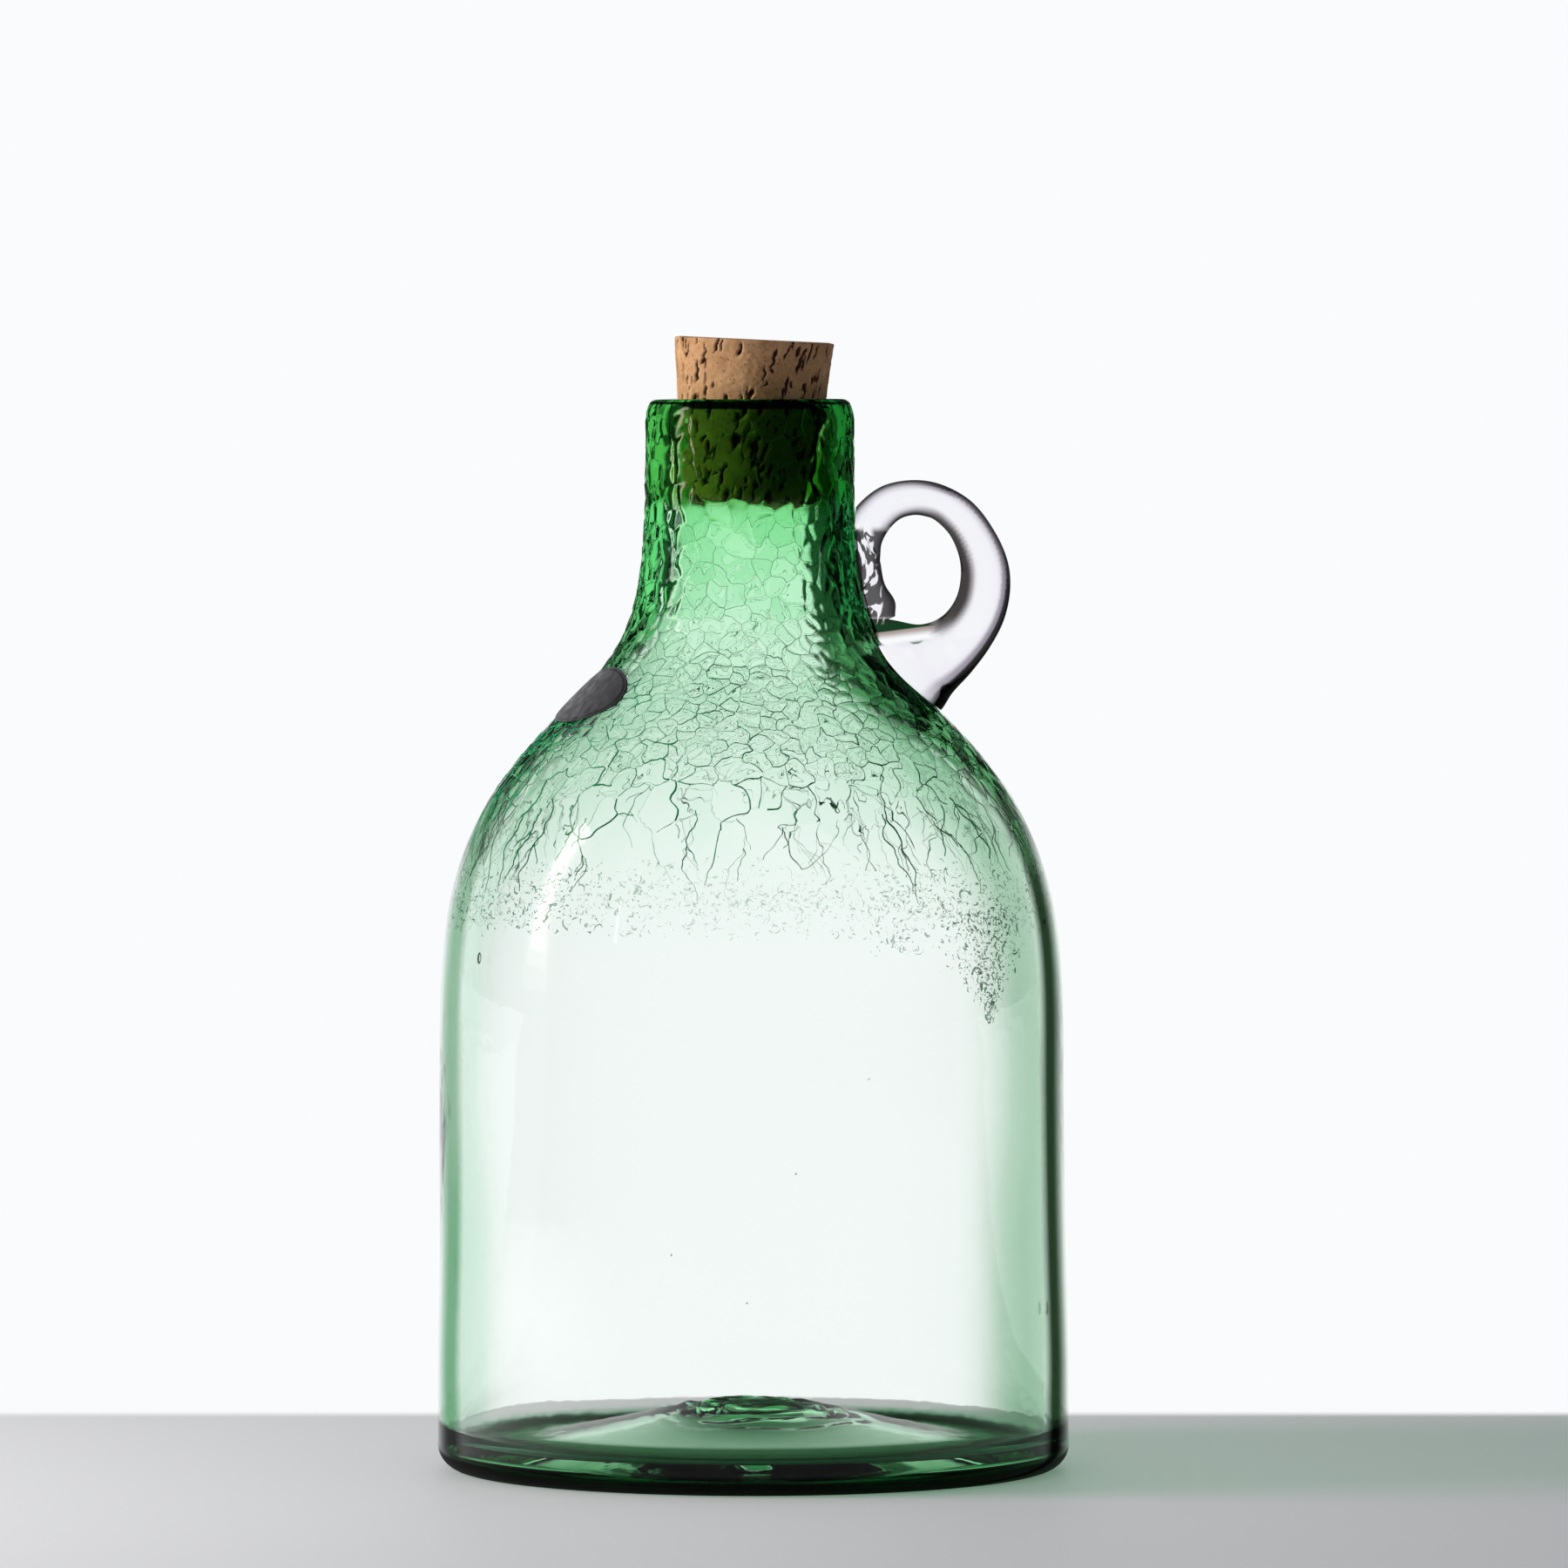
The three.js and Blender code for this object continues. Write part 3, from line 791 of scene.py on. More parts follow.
def green_glass():
    """Clear glass whose body takes up red and blue light, and whose colour is densest where the
    gather was thick, at the neck and the base. Towards its sides, and at the lip, the heel and the
    floor, a coloured refraction takes its place by a share that comes from how far the wall turns
    edge on and from the place on it. Much of its colour is painted shade and light: dark edges and
    lines, darker on the right, bright green patches on the neck, a black line at the lip, a darker
    heel and underside, the cork darkened and lit on its left, and the floor streaked and pale on
    its flanks. Lamps shine through it."""
    material, start = new_material("green_glass")
    place, aside, height = start.place(), start.place("X"), start.place("Z")
    away, facing, within = place.length(), start.facing(), start.within()
    outer, under, floor, shade, swirls = (
        start.mark(name) for name in ("outer", "under", "floor", "shade", "swirl"))
    crazed, above, neck, left_rise, right_rise = (height.between(*heights) for heights in (
        crazed_heights, above_heights, neck_heights, left_rise_heights, right_rise_heights))
    low, heel = 1 - height.between(*low_heights), 1 - height.between(*heel_heights)
    right, handle_side = aside.between(*right_places), aside.between(*handle_places)
    away_side = 1 - handle_side
    low_left = low * (1 - right)

    share = start.node("ShaderNodeMapRange", None, {
        "Value": height, "From Min": tint_heights[0], "From Max": tint_heights[-1]})
    stops = [(at / tint_heights[-1], colour) for at, colour in zip(tint_heights, tint_colours)]
    tint = start.node("ShaderNodeValToRGB", {"stops": stops}, {0: share})
    # Painted shade: the tint darkens where the crazed slope turns edge on, more on the right, towards
    # the body's sides, most on the right, and on each pillow by its cell's random tone, more up the
    # neck.
    slope = facing.between(*slope_turn) * crazed * right.ramp(0.55, 1.0)
    side = facing.between(
        right.ramp(0.48, 0.276) - low_left * 0.05, right.ramp(0.75, 0.614) - low * 0.10)
    pillow_shade = shade * outer * crazed * neck.ramp(0.38, 1.0)
    for part, colour in (
            (slope, slope_painted_shade),
            (side * crazed.ramp(1.0, 0.55), right.blend(side_left_shade, side_right_shade)),
            (pillow_shade, slope_painted_shade)):
        tint = part.blend(tint, colour, "MULTIPLY")
    # Painted light: in front of the cork the tint lightens on the left, where the cork would be lit.
    cork_side = height.between(*cork_foot_heights) * (1 - height.between(*cork_top_heights))
    tint = (cork_side * (1 - aside.between(*cork_places)) * outer).blend(tint, cork_left_painted_light)
    # The underside's tint, deep green at the crown partly as painted shade for a dark table seen
    # through it.
    oval = place.stretched(*base_oval).length()
    flank = oval.between(*crown_places) * (1 - away.between(*flank_ends))
    foot = oval.between(*punt_places).blend(under_green_and_shade, under_flank)
    tint = under.blend(tint, away.between(*ring_places).blend(foot, under_ring))

    # Painted shade: on the shoulder and neck the refraction darkens as the glass turns edge on, from
    # nearer the middle on the handle's side and up the neck. On the body a dark line runs inside the
    # outline, strongest on the right.
    dark_from = left_rise.ramp(0.46, 0.27) * away_side + right_rise.ramp(0.50, 0.12) * handle_side
    dark_full = left_rise.ramp(0.80, 0.32) * away_side + right_rise.ramp(0.76, 0.19) * handle_side
    edge = facing.between(dark_from, dark_full)
    # Painted shade: a near-black line along the lip, starting a little higher where the lip turns
    # edge on.
    corner = facing.between(*lip_turn) * corner_rise
    lip = height.between(*(corner + at for at in lip_foot_heights))
    lip = lip - height.between(*lip_top_heights)
    front = outer * (1 - within)
    clear = within * (1 - facing.between(*reflecting)) * 0.9
    clear = clear + (1 - within) * (1 - outer) * (1 - facing.between(*inner_clear)) * 0.9
    clear = clear + front * (1 - facing.between(*front_clear)) * 0.6
    line = facing.between(*line_start) * (1 - facing.between(*line_end))
    line = line * (right.ramp(0.64, 0.98) + low_left * 0.16) * (1 - above)
    # Painted shade: in front of the cork the glass mirrors nothing, and its refraction is dark green,
    # darkening the cork seen through it.
    behind_cork = height.between(*behind_cork_heights) * (1 - facing.between(*cork_turn))
    rim = edge * (1 - facing.between(*rim_end)) * 0.98 * above + line
    rim = (rim.most(lip * 0.9, heel * 0.9) * front).most(
        clear * (1 - floor) * (1 - under),
        facing.between(*floor_turn) * floor * flank.ramp(0.96, 0.54), behind_cork * 0.92)

    # Painted light: bright green patches in the dark edges of the neck and flare, more of them away
    # from the handle.
    lighter = away_side * neck
    streak = place.stretched(*streak_pace).noise(1.0, 1.0)
    painted_patches = (shade * 0.6 + streak * 0.5).between(lighter.ramp(0.30, 0.18), lighter.ramp(0.62, 0.44))
    painted_patches = painted_patches * facing.between(neck.ramp(0.18, 0.38), 0.46)
    bright = neck.blend(flare_painted_light, handle_side.blend(neck_painted_light, neck_right_painted_light))
    rim_colour = painted_patches.blend(neck.blend(flare_painted_shade, neck_painted_shade), bright)
    rim_colour = above.blend(right.blend(left_painted_shade, right_painted_shade), rim_colour)
    root = start.node("ShaderNodeGamma", None, {"Color": tint, "Gamma": 0.5})
    rim_colour = ((edge * above + line).between(0.0, 0.25) * front).blend(root, rim_colour)
    # Painted light and shade: dark and bright green streaks along the swirl's rings, pale on the
    # flanks of the crown.
    floor_colour = swirls.between(0.42, 0.80).blend(floor_painted_shade, floor_painted_light)
    for part, colour in (
            (behind_cork, cork_tint_painted_shade), (lip, lip_painted_shade), (heel, heel_green_and_shade),
            (floor, (flank * 0.8).blend(floor_colour, floor_flank_painted_light))):
        rim_colour = part.blend(rim_colour, colour)

    glass = start.finish(tint, 0.0, {
        "IOR": glass_ior, "Transmission Weight": 1.0, "Normal": place.noise(120.0).bump(0.05, 0.001)})
    glass = rim.mix(glass, refraction(start, rim_colour, glass_ior))
    volume = start.node("ShaderNodeVolumeAbsorption", None, {
        "Color": absorb_colour, "Density": absorb_density})
    finish_material(start, lamps_through(start, glass, lamp_tint), volume)
    return material


rings, under_count, outer_count, floor_count, shade_mark = vessel_rings()
swirl_mark = 0.5 + 0.5 * np.clip(swirl(np.concatenate(rings), 42), -1, 1)
vessel = add_piece(
    "crackle_glass_vessel", np.concatenate(rings), skin_faces(rings),
    green_glass(), "vessel",
    {"outer": ring_marks(rings, under_count, under_count + outer_count),
     "under": ring_marks(rings, 0, under_count - 1),
     "floor": ring_marks(rings, len(rings) - floor_count, len(rings)),
     "swirl": swirl_mark, "shade": shade_mark})
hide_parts("glass_vessel")


# The craze: fine cracks stand in the outer skin of the glass along the borders of the cells, close
# and level round the flare, long and branching down the shoulder.
crack_heights = [0.137, 0.146, 0.156, 0.170, 0.180, 0.215, 0.262]
crack_widths = [0.00005, 0.00018, 0.00024, 0.00025, 0.00022, 0.00014, 0.00009]
crack_depths = [0.00020, 0.00050, 0.00060, 0.00045, 0.00040, 0.00030, 0.00025]
crack_cover, crack_wobble, crack_split = 0.00010, 0.07, 0.1720
crack_lowest, crack_highest, crack_longest, crack_shortest = 0.1500, 0.2575, 0.030, 0.0007
most_cracked, level_cracked, upright_cracked = 0.93, 0.06, 0.50
sparse_heights, upright_shares, crack_feet = (0.158, 0.172), (0.45, 0.8), (0.1345, 0.1400)


def cell_borders(middles):
    """The straight borders between neighbouring cells, as their two ends on the map: each joins
    the centres of the circles round two triangles that share a side."""
    corners, _, triangles, *_ = delaunay_2d_cdt(
        [Vector(middle) for middle in middles], [], [], 0, 1e-9)
    corners = np.array([tuple(corner) for corner in corners])
    triangles = np.array(triangles)
    a, b, c = (corners[triangles[:, k]] for k in range(3))
    ab, ac = b - a, c - a
    ab2, ac2 = (ab ** 2).sum(1), (ac ** 2).sum(1)
    spread = 2 * (ab[:, 0] * ac[:, 1] - ab[:, 1] * ac[:, 0])
    centres = a + np.stack([
        ac[:, 1] * ab2 - ab[:, 1] * ac2, ab[:, 0] * ac2 - ac[:, 0] * ab2], 1) / spread[:, None]
    sides = np.sort(np.concatenate([
        triangles[:, [0, 1]], triangles[:, [1, 2]], triangles[:, [2, 0]]]), axis=1)
    owners = np.tile(np.arange(len(triangles)), 3)
    order = np.lexsort((sides[:, 1], sides[:, 0]))
    sides, owners = sides[order], owners[order]
    shared = np.flatnonzero((sides[1:] == sides[:-1]).all(1))
    return centres[owners[shared]], centres[owners[shared + 1]]


def kept_borders(middles, draw, lowest, highest, longest):
    """The borders that have cracked through: nearly all of them up on the flare, and on the
    shoulder mostly those that run down."""
    first, second = cell_borders(middles)
    middle = 0.5 * (first + second)
    run = (second - first) * radius_at(middle[:, 1])[:, None]
    length = np.linalg.norm(run, axis=1)
    height = height_at(middle[:, 1])
    upright = np.abs(run[:, 1]) / np.maximum(length, 1e-6)
    low_chance = level_cracked + upright_cracked * smooth(upright, *upright_shares)
    low = 1 - smooth(height, *sparse_heights)
    chance = most_cracked - low * (most_cracked - low_chance)
    keep = (middle[:, 0] >= 0) & (middle[:, 0] < around)
    keep &= (length < longest) & (length > crack_shortest) & (height > lowest) & (height < highest)
    keep &= draw.uniform(size=len(keep)) < chance
    return first[keep], second[keep], height[keep]


def wedge_faces(strips, stations):
    """Faces of strips of three-cornered sections, with both ends closed."""
    strip = np.arange(strips)[:, None, None] * stations * 3
    step = np.arange(stations - 1)[None, :, None] * 3
    side = np.arange(3)[None, None, :]
    a = strip + step + side
    b = strip + step + (side + 1) % 3
    walls = np.stack([a, a + 3, b + 3, b], -1).reshape(-1, 4)
    start = np.arange(strips)[:, None] * stations * 3
    caps = np.concatenate([start + [0, 1, 2], start + (stations - 1) * 3 + [2, 1, 0]])
    return walls.tolist() + caps.tolist()


def wedges(bearing, turn, width, depth, slant):
    """Strips that follow paths on the map, each a row of stations, and cut into the glass: a wedge
    that is width wide at the skin and comes to an edge at its depth, aslant."""
    lift = craze_lift(bearing, turn) - crack_cover
    here = on_outside(turn, bearing, lift)
    inward = on_outside(turn, bearing, lift - 0.001) - here
    inward /= np.linalg.norm(inward, axis=-1)[..., None]
    way = np.gradient(here, axis=1)
    aside = np.cross(way, inward)
    aside /= np.maximum(np.linalg.norm(aside, axis=-1), 1e-9)[..., None]
    half = 0.5 * width[..., None]
    root = here + inward * depth[..., None] + aside * (depth * slant)[..., None]
    return np.stack([here - aside * half, here + aside * half, root], 2)


def crack_wedges(bearing, turn, size, draw):
    """Cracks along paths on the map, whose width and depth come and go."""
    height = height_at(turn)
    there = on_outside(turn, bearing, 0)
    strength = size * (0.85 + 0.60 * waves(there, 0.012, 61)).clip(0.35, 1.2)
    strength *= (0.9 + 0.35 * waves(there, 0.0016, 62)).clip(0.5, 1.2)
    width = np.interp(height, crack_heights, crack_widths) * strength
    depth = np.interp(height, crack_heights, crack_depths) * (0.6 + 0.4 * strength)
    slant = draw.uniform(-0.5, 0.5, (len(turn), 1)) * np.ones(turn.shape[1])
    return wedges(bearing, turn, width, depth, slant)


def crack_points(first, second, stations, seed, size):
    """Cracks along borders: each bends a little on its way, and its width comes and goes. size
    scales their width and depth."""
    draw = np.random.default_rng(seed)
    count = len(first)
    share = np.linspace(0, 1, stations)
    bend = draw.normal(size=(count, 3))
    waver = sum(
        bend[:, k:k + 1] * np.sin(math.pi * (k + 1) * share) / (k + 1) for k in range(3))
    run = second - first
    path = first[:, None] + run[:, None] * share[:, None]
    path += (crack_wobble * waver)[..., None] * np.stack([-run[:, 1], run[:, 0]], 1)[:, None]
    bearing, turn = path[..., 0], path[..., 1]
    moved_bearing, moved_turn = warped(bearing, turn)
    bearing, turn = 2 * bearing - moved_bearing, 2 * turn - moved_turn
    turn = np.maximum(turn, turn_at(draw.uniform(*crack_feet, (count, 1))))
    return crack_wedges(bearing, turn, size, draw)


crack_colour = (0.006, 0.34, 0.13, 1)
crack_fade_heights, crack_top_share = (0.185, 0.205), 0.45
glint_scale, glint_roughness = 900.0, (0.12, 0.37)


def crack_shade(name, cover, side_cover):
    """The broken faces of a crack, which show as dark green lines with a glint here and there.
    cover is how much of the light from behind they stop in the middle of the glass, and side_cover
    how much more at its sides. Towards the neck both fade."""
    material, start = new_material(name)
    aside = start.place("X")
    sideways = aside * aside * (1 / shoulder_radius ** 2)
    fade = start.place("Z").between(*crack_fade_heights).ramp(1.0, crack_top_share)
    glint = start.place().noise(glint_scale).between(0.35, 0.65)
    finish_material(start, start.finish(crack_colour, glint.ramp(*glint_roughness), {
        "Specular IOR Level": 0.1, "Alpha": (sideways * side_cover + cover) * fade}))
    return material


def add_cracks(name, points, finish):
    """A piece of cracks from its strips of wedge sections."""
    faces = wedge_faces(*points.shape[:2])
    return add_piece(name, points.reshape(-1, 3), faces, finish, "vessel")


craze_line = crack_shade("craze_line", 0.93, 0.05)
crack_first, crack_second, crack_height = kept_borders(
    wrapped_cells, np.random.default_rng(13), crack_lowest, crack_highest, crack_longest)
upper = crack_height > crack_split
for name, chosen, stations, seed in (
        ("flare_cracks", upper, 5, 15), ("shoulder_cracks", ~upper, 11, 16)):
    points = crack_points(crack_first[chosen], crack_second[chosen], stations, seed, 1.0)
    add_cracks(name, points, craze_line)


# The long cracks: from the net on the flare they run down the shoulder to the water line, close
# together at the carboy's sides, and throw off branches on their way.
long_count, long_stations = 124, 36
long_swings = [(0.0026, 0.030), (0.0007, 0.0100), (0.00022, 0.0036)]
long_tops, long_foot, long_reach = (0.160, 0.173), 0.1400, 0.0170
long_share, long_side_share, long_slant = 0.22, 0.70, 0.13
branch_starts, branch_lengths, branch_reach = (0.05, 0.60), (0.15, 0.40), (0.0015, 0.0055)
branch_wave = 0.0004


def long_paths(draw):
    """The main cracks as bearing and turn. Each goes down at an angle of its own, and zigzags of
    three sizes, 2 / pi arcsin(sin), move it to and fro."""
    bearing = around * (np.arange(long_count) + draw.uniform(-0.5, 0.5, long_count)) / long_count
    sideways = np.abs(np.cos(bearing)) ** 2
    kept = draw.uniform(size=long_count) < long_share + long_side_share * sideways
    bearing, sideways = bearing[kept, None], sideways[kept, None]
    count = len(bearing)
    top = turn_at(draw.uniform(*long_tops, (count, 1)))
    foot = turn_at(long_foot + long_reach * draw.beta(1.1, 1.8, (count, 1)))
    share = np.linspace(0, 1, long_stations)
    turn = top + (foot - top) * share
    fall = (top - turn) * shoulder_radius
    aside = draw.normal(0, long_slant, (count, 1)) * fall
    for reach, length in long_swings:
        pace = draw.uniform(0.7, 1.4, (count, 1)) / length
        swing = np.sin(around * (fall * pace + draw.uniform(size=(count, 1))))
        aside = aside + reach * 2 / math.pi * np.arcsin(0.97 * swing)
    return bearing + aside / radius_at(turn), turn, sideways


def long_crack_points():
    """The main cracks and their branches. A branch follows a length of its main crack and moves
    away from it on the way down."""
    draw = np.random.default_rng(24)
    bearing, turn, sideways = long_paths(draw)
    count = len(bearing)
    share = np.linspace(0, 1, long_stations)
    size = draw.uniform(0.45, 1.15, (count, 1)) * (0.66 + 0.70 * sideways) * (1 - 0.8 * share ** 3)
    paths = [(bearing, turn, size)]
    for _ in range(2):
        start = draw.uniform(*branch_starts, (count, 1))
        place = start + draw.uniform(*branch_lengths, (count, 1)) * share
        along = np.stack([
            [np.interp(at, share, values) for values in (one_bearing, one_turn)]
            for at, one_bearing, one_turn in zip(place, bearing, turn)])
        away = draw.choice([-1, 1], (count, 1)) * draw.uniform(*branch_reach, (count, 1))
        wave = branch_wave * np.sin(around * (place * draw.uniform(3, 7, (count, 1))))
        aside = (away * share ** 0.8 + wave * share) / shoulder_radius
        thin = size * draw.uniform(0.5, 0.9, (count, 1)) * (1 - 0.75 * share ** 2)
        paths.append((along[:, 0] + aside, along[:, 1], thin))
    bearing, turn, size = (np.concatenate([path[k] for path in paths]) for k in range(3))
    return crack_wedges(bearing, turn, size, draw)


add_cracks("long_cracks", long_crack_points(), craze_line)


# The hairlines: a second, closer net of cracks as thin as hairs between the others, on the flare
# and the top of the shoulder.
hair_crowding, hair_lowest, hair_highest, hair_longest = 1.25, 0.164, 0.208, 0.012
hair_full, hair_fade, hair_most, hair_size, hair_stations = 0.176, 0.190, 0.24, 0.45, 4
hair_cells = plant_cells(17, hair_crowding, 0.212, 0.160)
hair_first, hair_second, hair_height = kept_borders(
    wrapped(hair_cells, hair_cells[:, 0], whole_turn), np.random.default_rng(19),
    hair_lowest, hair_highest, hair_longest)
hair_share = hair_most * smooth(hair_height, hair_lowest, hair_full)
hair_share *= 1 - smooth(hair_height, hair_fade, hair_highest)
hair_kept = np.random.default_rng(23).uniform(size=len(hair_height)) < hair_share
points = crack_points(
    hair_first[hair_kept], hair_second[hair_kept], hair_stations, 20, hair_size)
add_cracks("hairline_cracks", points, crack_shade("hairline", 0.30, 0.4))


# The water line: where the dip ended, the skin is full of small round chips, and two drips of
# water ran down from it and left their own.
chip_stations = 5
chip_count, drip_count, small_drip_count = 3400, 760, 60
chip_foot, chip_reach, chip_limits = 0.1322, 0.0180, (0.105, 0.152)
chip_sizes, chip_sweeps, chip_slant = (0.00025, 0.0017), (0.6, 2.6), 1.4
chip_widths, chip_depths, chip_squash = (0.00004, 0.00011), (0.00010, 0.00045), (0.5, 1.3)
drip_top, drip_reach, drip_bearing = 0.138, 0.0265, math.radians(-41)
drip_point, drip_fall, drip_spread, small_drip_spread = 0.1105, 0.024, 0.115, 0.05
small_drip_top, small_drip_reach, small_drip_bearing = 0.134, 0.006, math.radians(-62)


def place_chips(draw):
    """Where the chips lie: a band at the water line, thin at its edges, and two drips under it.
    The large drip narrows on its way down."""
    height = np.concatenate([
        chip_foot + chip_reach * draw.beta(1.5, 2.0, chip_count),
        drip_top - drip_reach * draw.beta(1.0, 1.4, drip_count),
        small_drip_top - small_drip_reach * draw.beta(1.0, 1.5, small_drip_count),
    ])
    drip = height[chip_count:chip_count + drip_count]
    spread = ((drip - drip_point) / drip_fall).clip(0.08, 1)
    bearing = np.concatenate([
        draw.uniform(0, around, chip_count),
        drip_bearing + drip_spread * spread * draw.normal(size=drip_count),
        small_drip_bearing + small_drip_spread * draw.normal(size=small_drip_count),
    ])
    keep = (height > chip_limits[0]) & (height < chip_limits[1])
    clump = waves(on_outside(turn_at(height), bearing, 0), 0.014, 63)
    in_drip = np.arange(len(keep)) >= chip_count
    keep &= (draw.uniform(-0.9, 0.9, len(keep)) < clump + 0.55) | in_drip
    return bearing[keep], height[keep]


def chip_points():
    """The chips: short curved cracks, each an arc of a small ring with thin ends."""
    draw = np.random.default_rng(14)
    bearing, height = place_chips(draw)
    count = len(bearing)
    share = np.linspace(0, 1, chip_stations)
    size = draw.gamma(3.4, 0.00021, count).clip(*chip_sizes)[:, None]
    sweep = draw.uniform(*chip_sweeps, (count, 1))
    angle = draw.uniform(0, around, (count, 1)) + sweep * share
    radius = radius_of(height)[:, None]
    squash = draw.uniform(*chip_squash, (count, 1))
    path_bearing = bearing[:, None] + size * np.cos(angle) / radius
    path_turn = turn_at(height)[:, None] + size * squash * np.sin(angle) / radius
    body = 0.1 + 0.9 * np.sin(math.pi * share) ** 0.7
    width = draw.uniform(*chip_widths, (count, 1)) * body
    depth = draw.uniform(*chip_depths, (count, 1)) * body
    slant = draw.uniform(-chip_slant, chip_slant, (count, 1)) * np.ones(chip_stations)
    return wedges(path_bearing, path_turn, width, depth, slant)


add_cracks("water_line_chips", chip_points(), crack_shade("chip_line", 0.16, 0.66))


# The bubbles: a few grains of air that were shut in the gather and drawn out upright when it was
# blown. Each lies inside the wall of the body.
bubbles = [
    (-0.0640, -1, 0.1259, 0.0008, 0.0014), (0.0106, -1, 0.0769, 0.00022, 0.00024),
    (-0.0186, -1, 0.0575, 0.00018, 0.00030), (-0.0008, 1, 0.0342, 0.00022, 0.00022),
    (0.0695, -1, 0.0410, 0.0006, 0.0016), (0.0300, 1, 0.0900, 0.00018, 0.00026),
]
bubble_depth = 0.0022
bubble_rings, bubble_columns = 14, 20


def bubble_points(x, side, z, half_wide, half_tall):
    """An egg-shaped bubble in the wall, at a place given by x, the side of y, and z."""
    radius = radius_of(z) - bubble_depth
    middle = np.array([x, side * math.sqrt(radius ** 2 - x ** 2), z])
    height = np.linspace(-math.pi / 2, math.pi / 2, bubble_rings)[1:-1, None]
    bearing = bearings(bubble_columns)
    body = np.stack([
        half_wide * np.cos(height) * np.cos(bearing), half_wide * np.cos(height) * np.sin(bearing),
        half_tall * np.sin(height) + 0 * bearing], -1)
    ends = np.array([[[0, 0, -half_tall]], [[0, 0, half_tall]]])
    return [ends[0] + middle, *(body + middle), ends[1] + middle]


bubble_tint, open_tint = (0.80, 0.95, 0.85, 1), (1, 1, 1, 1)


def air_shade():
    """The skin of a bubble: the light bends out of the glass into air, and back."""
    material, start = new_material("bubble_air")
    air = start.finish(bubble_tint, 0.0, {"IOR": 1 / glass_ior, "Transmission Weight": 1.0})
    finish_material(start, lamps_through(start, air, open_tint))
    return material


bubble_shapes = [bubble_points(*bubble) for bubble in bubbles]
one_bubble = skin_faces(bubble_shapes[0])
bubble_size = sum(len(ring) for ring in bubble_shapes[0])
add_piece(
    "wall_bubbles", np.concatenate([np.concatenate(shape) for shape in bubble_shapes]),
    [[corner + at * bubble_size for corner in face]
     for at in range(len(bubbles)) for face in one_bubble],
    air_shade(), "vessel")


# The loop handle: a gather of clear glass laid hot on the shoulder, drawn out and up, bent over to
# the neck and turned down along it, where its tail was folded and pressed on with a tool.
handle_reach = 0.0377
handle_top = rim - 0.0197
handle_foot_rise = 0.0164
handle_thickness = 0.0121
handle_gap = 0.0003
tail_below_top = 0.0108
tail_length, tail_thickness, tail_width = 0.0242, 0.0054, 0.0136
rod_steps, tail_steps, rod_sides, mark_steps, seat_columns = 200, 110, 72, 90, 240
hole_places = (0.036, 0.050)
ridge_depth, dent_depth, fold_shares = 0.03, 0.05, (0.05, 0.25)
foot_shares = [
    [1.3, -0.28, -1.1, -0.28, 0.94],
    [1.3, 0.13, -1.1, 0.13, 0.9],
    [1.17, 0.53, -0.69, 0.52, 0.76],
]
loop_shares = [
    [0.748, 1.049, 0.427, 0.787, 0.66],
    [0.87, 0.91, 0.562, 0.742, 0.58],
    [0.96, 0.762, 0.65, 0.645, 0.53],
    [1, 0.602, 0.682, 0.526, 0.5],
    [0.987, 0.449, 0.671, 0.416, 0.49],
    [0.899, 0.276, 0.61, 0.297, 0.47],
    [0.753, 0.117, 0.512, 0.216, 0.44],
    [0.562, 0.025, 0.464, 0.2, 0.41],
    [0.387, 0, 0.387, 0.191, 0.4],
    [0.191, 0.029, 0.297, 0.211, 0.41],
    [0.056, 0.106, 0.225, 0.267, 0.43],
    [-0.037, 0.209, 0.175, 0.344, 0.43],
    [-0.074, 0.333, 0.164, 0.427, 0.4],
    [-0.066, 0.467, 0.154, 0.524, 0.36],
]
tail_shares = [
    [0, 0.5, 0, 0.5],
    [0.1, 0.92, 0, 0.88],
    [0.3, 0.98, 0, 1],
    [0.5, 0.97, 0, 0.95],
    [0.68, 1.08, 0, 0.92],
    [0.88, 1.24, 0, 0.86],
    [1, 1.12, 0.01, 0.66],
]


def through(points, steps):
    """A smooth curve through points: in each span a cubic whose end slopes come from the points
    on either side, with the spans timed by the square roots of their lengths."""
    points = np.array(points, float)
    points = np.concatenate([
        [2 * points[0] - points[1]], points, [2 * points[-1] - points[-2]]])
    place = np.linspace(0, len(points) - 3, steps + 1)
    span = np.minimum(place.astype(int), len(points) - 4)
    share = (place - span)[:, None]
    a, b, c, d = (points[span + k] for k in range(4))
    before, within, after = (
        np.sqrt(np.linalg.norm(q - p, axis=1))[:, None] for p, q in ((a, b), (b, c), (c, d)))
    start = within * ((b - a) / before - (c - a) / (before + within) + (c - b) / within)
    end = within * ((c - b) / within - (d - b) / (within + after) + (d - c) / after)
    return (
        b + start * share + (3 * (c - b) - 2 * start - end) * share ** 2
        + (2 * (b - c) + start + end) * share ** 3)


def wall_at(height):
    """The outer wall's point and normal at a height, as radius and height pairs."""
    return (np.array([np.interp(height, outside[:, 1], values[:, k]) for k in (0, 1)])
            for values in (outside, outside_normal))


def rod_rows():
    """The rod's sections: the outer edge, the inner edge and the half depth of each."""
    foot, out = wall_at(shoulder_top + handle_foot_rise)
    down = np.array([out[1], -out[0]])
    rows = []
    for a, b, c, d, deep in foot_shares:
        outer, inner = (
            foot + handle_thickness * (along * down + lift * out)
            for along, lift in ((a, b), (c, d)))
        rows.append([*outer, *inner, deep * handle_thickness])
    drop = handle_top - foot[1]
    for a, b, c, d, deep in loop_shares:
        rows.append([
            neck_radius + a * handle_reach, handle_top - b * drop,
            neck_radius + c * handle_reach, handle_top - d * drop, deep * handle_thickness])
    return np.array(rows)


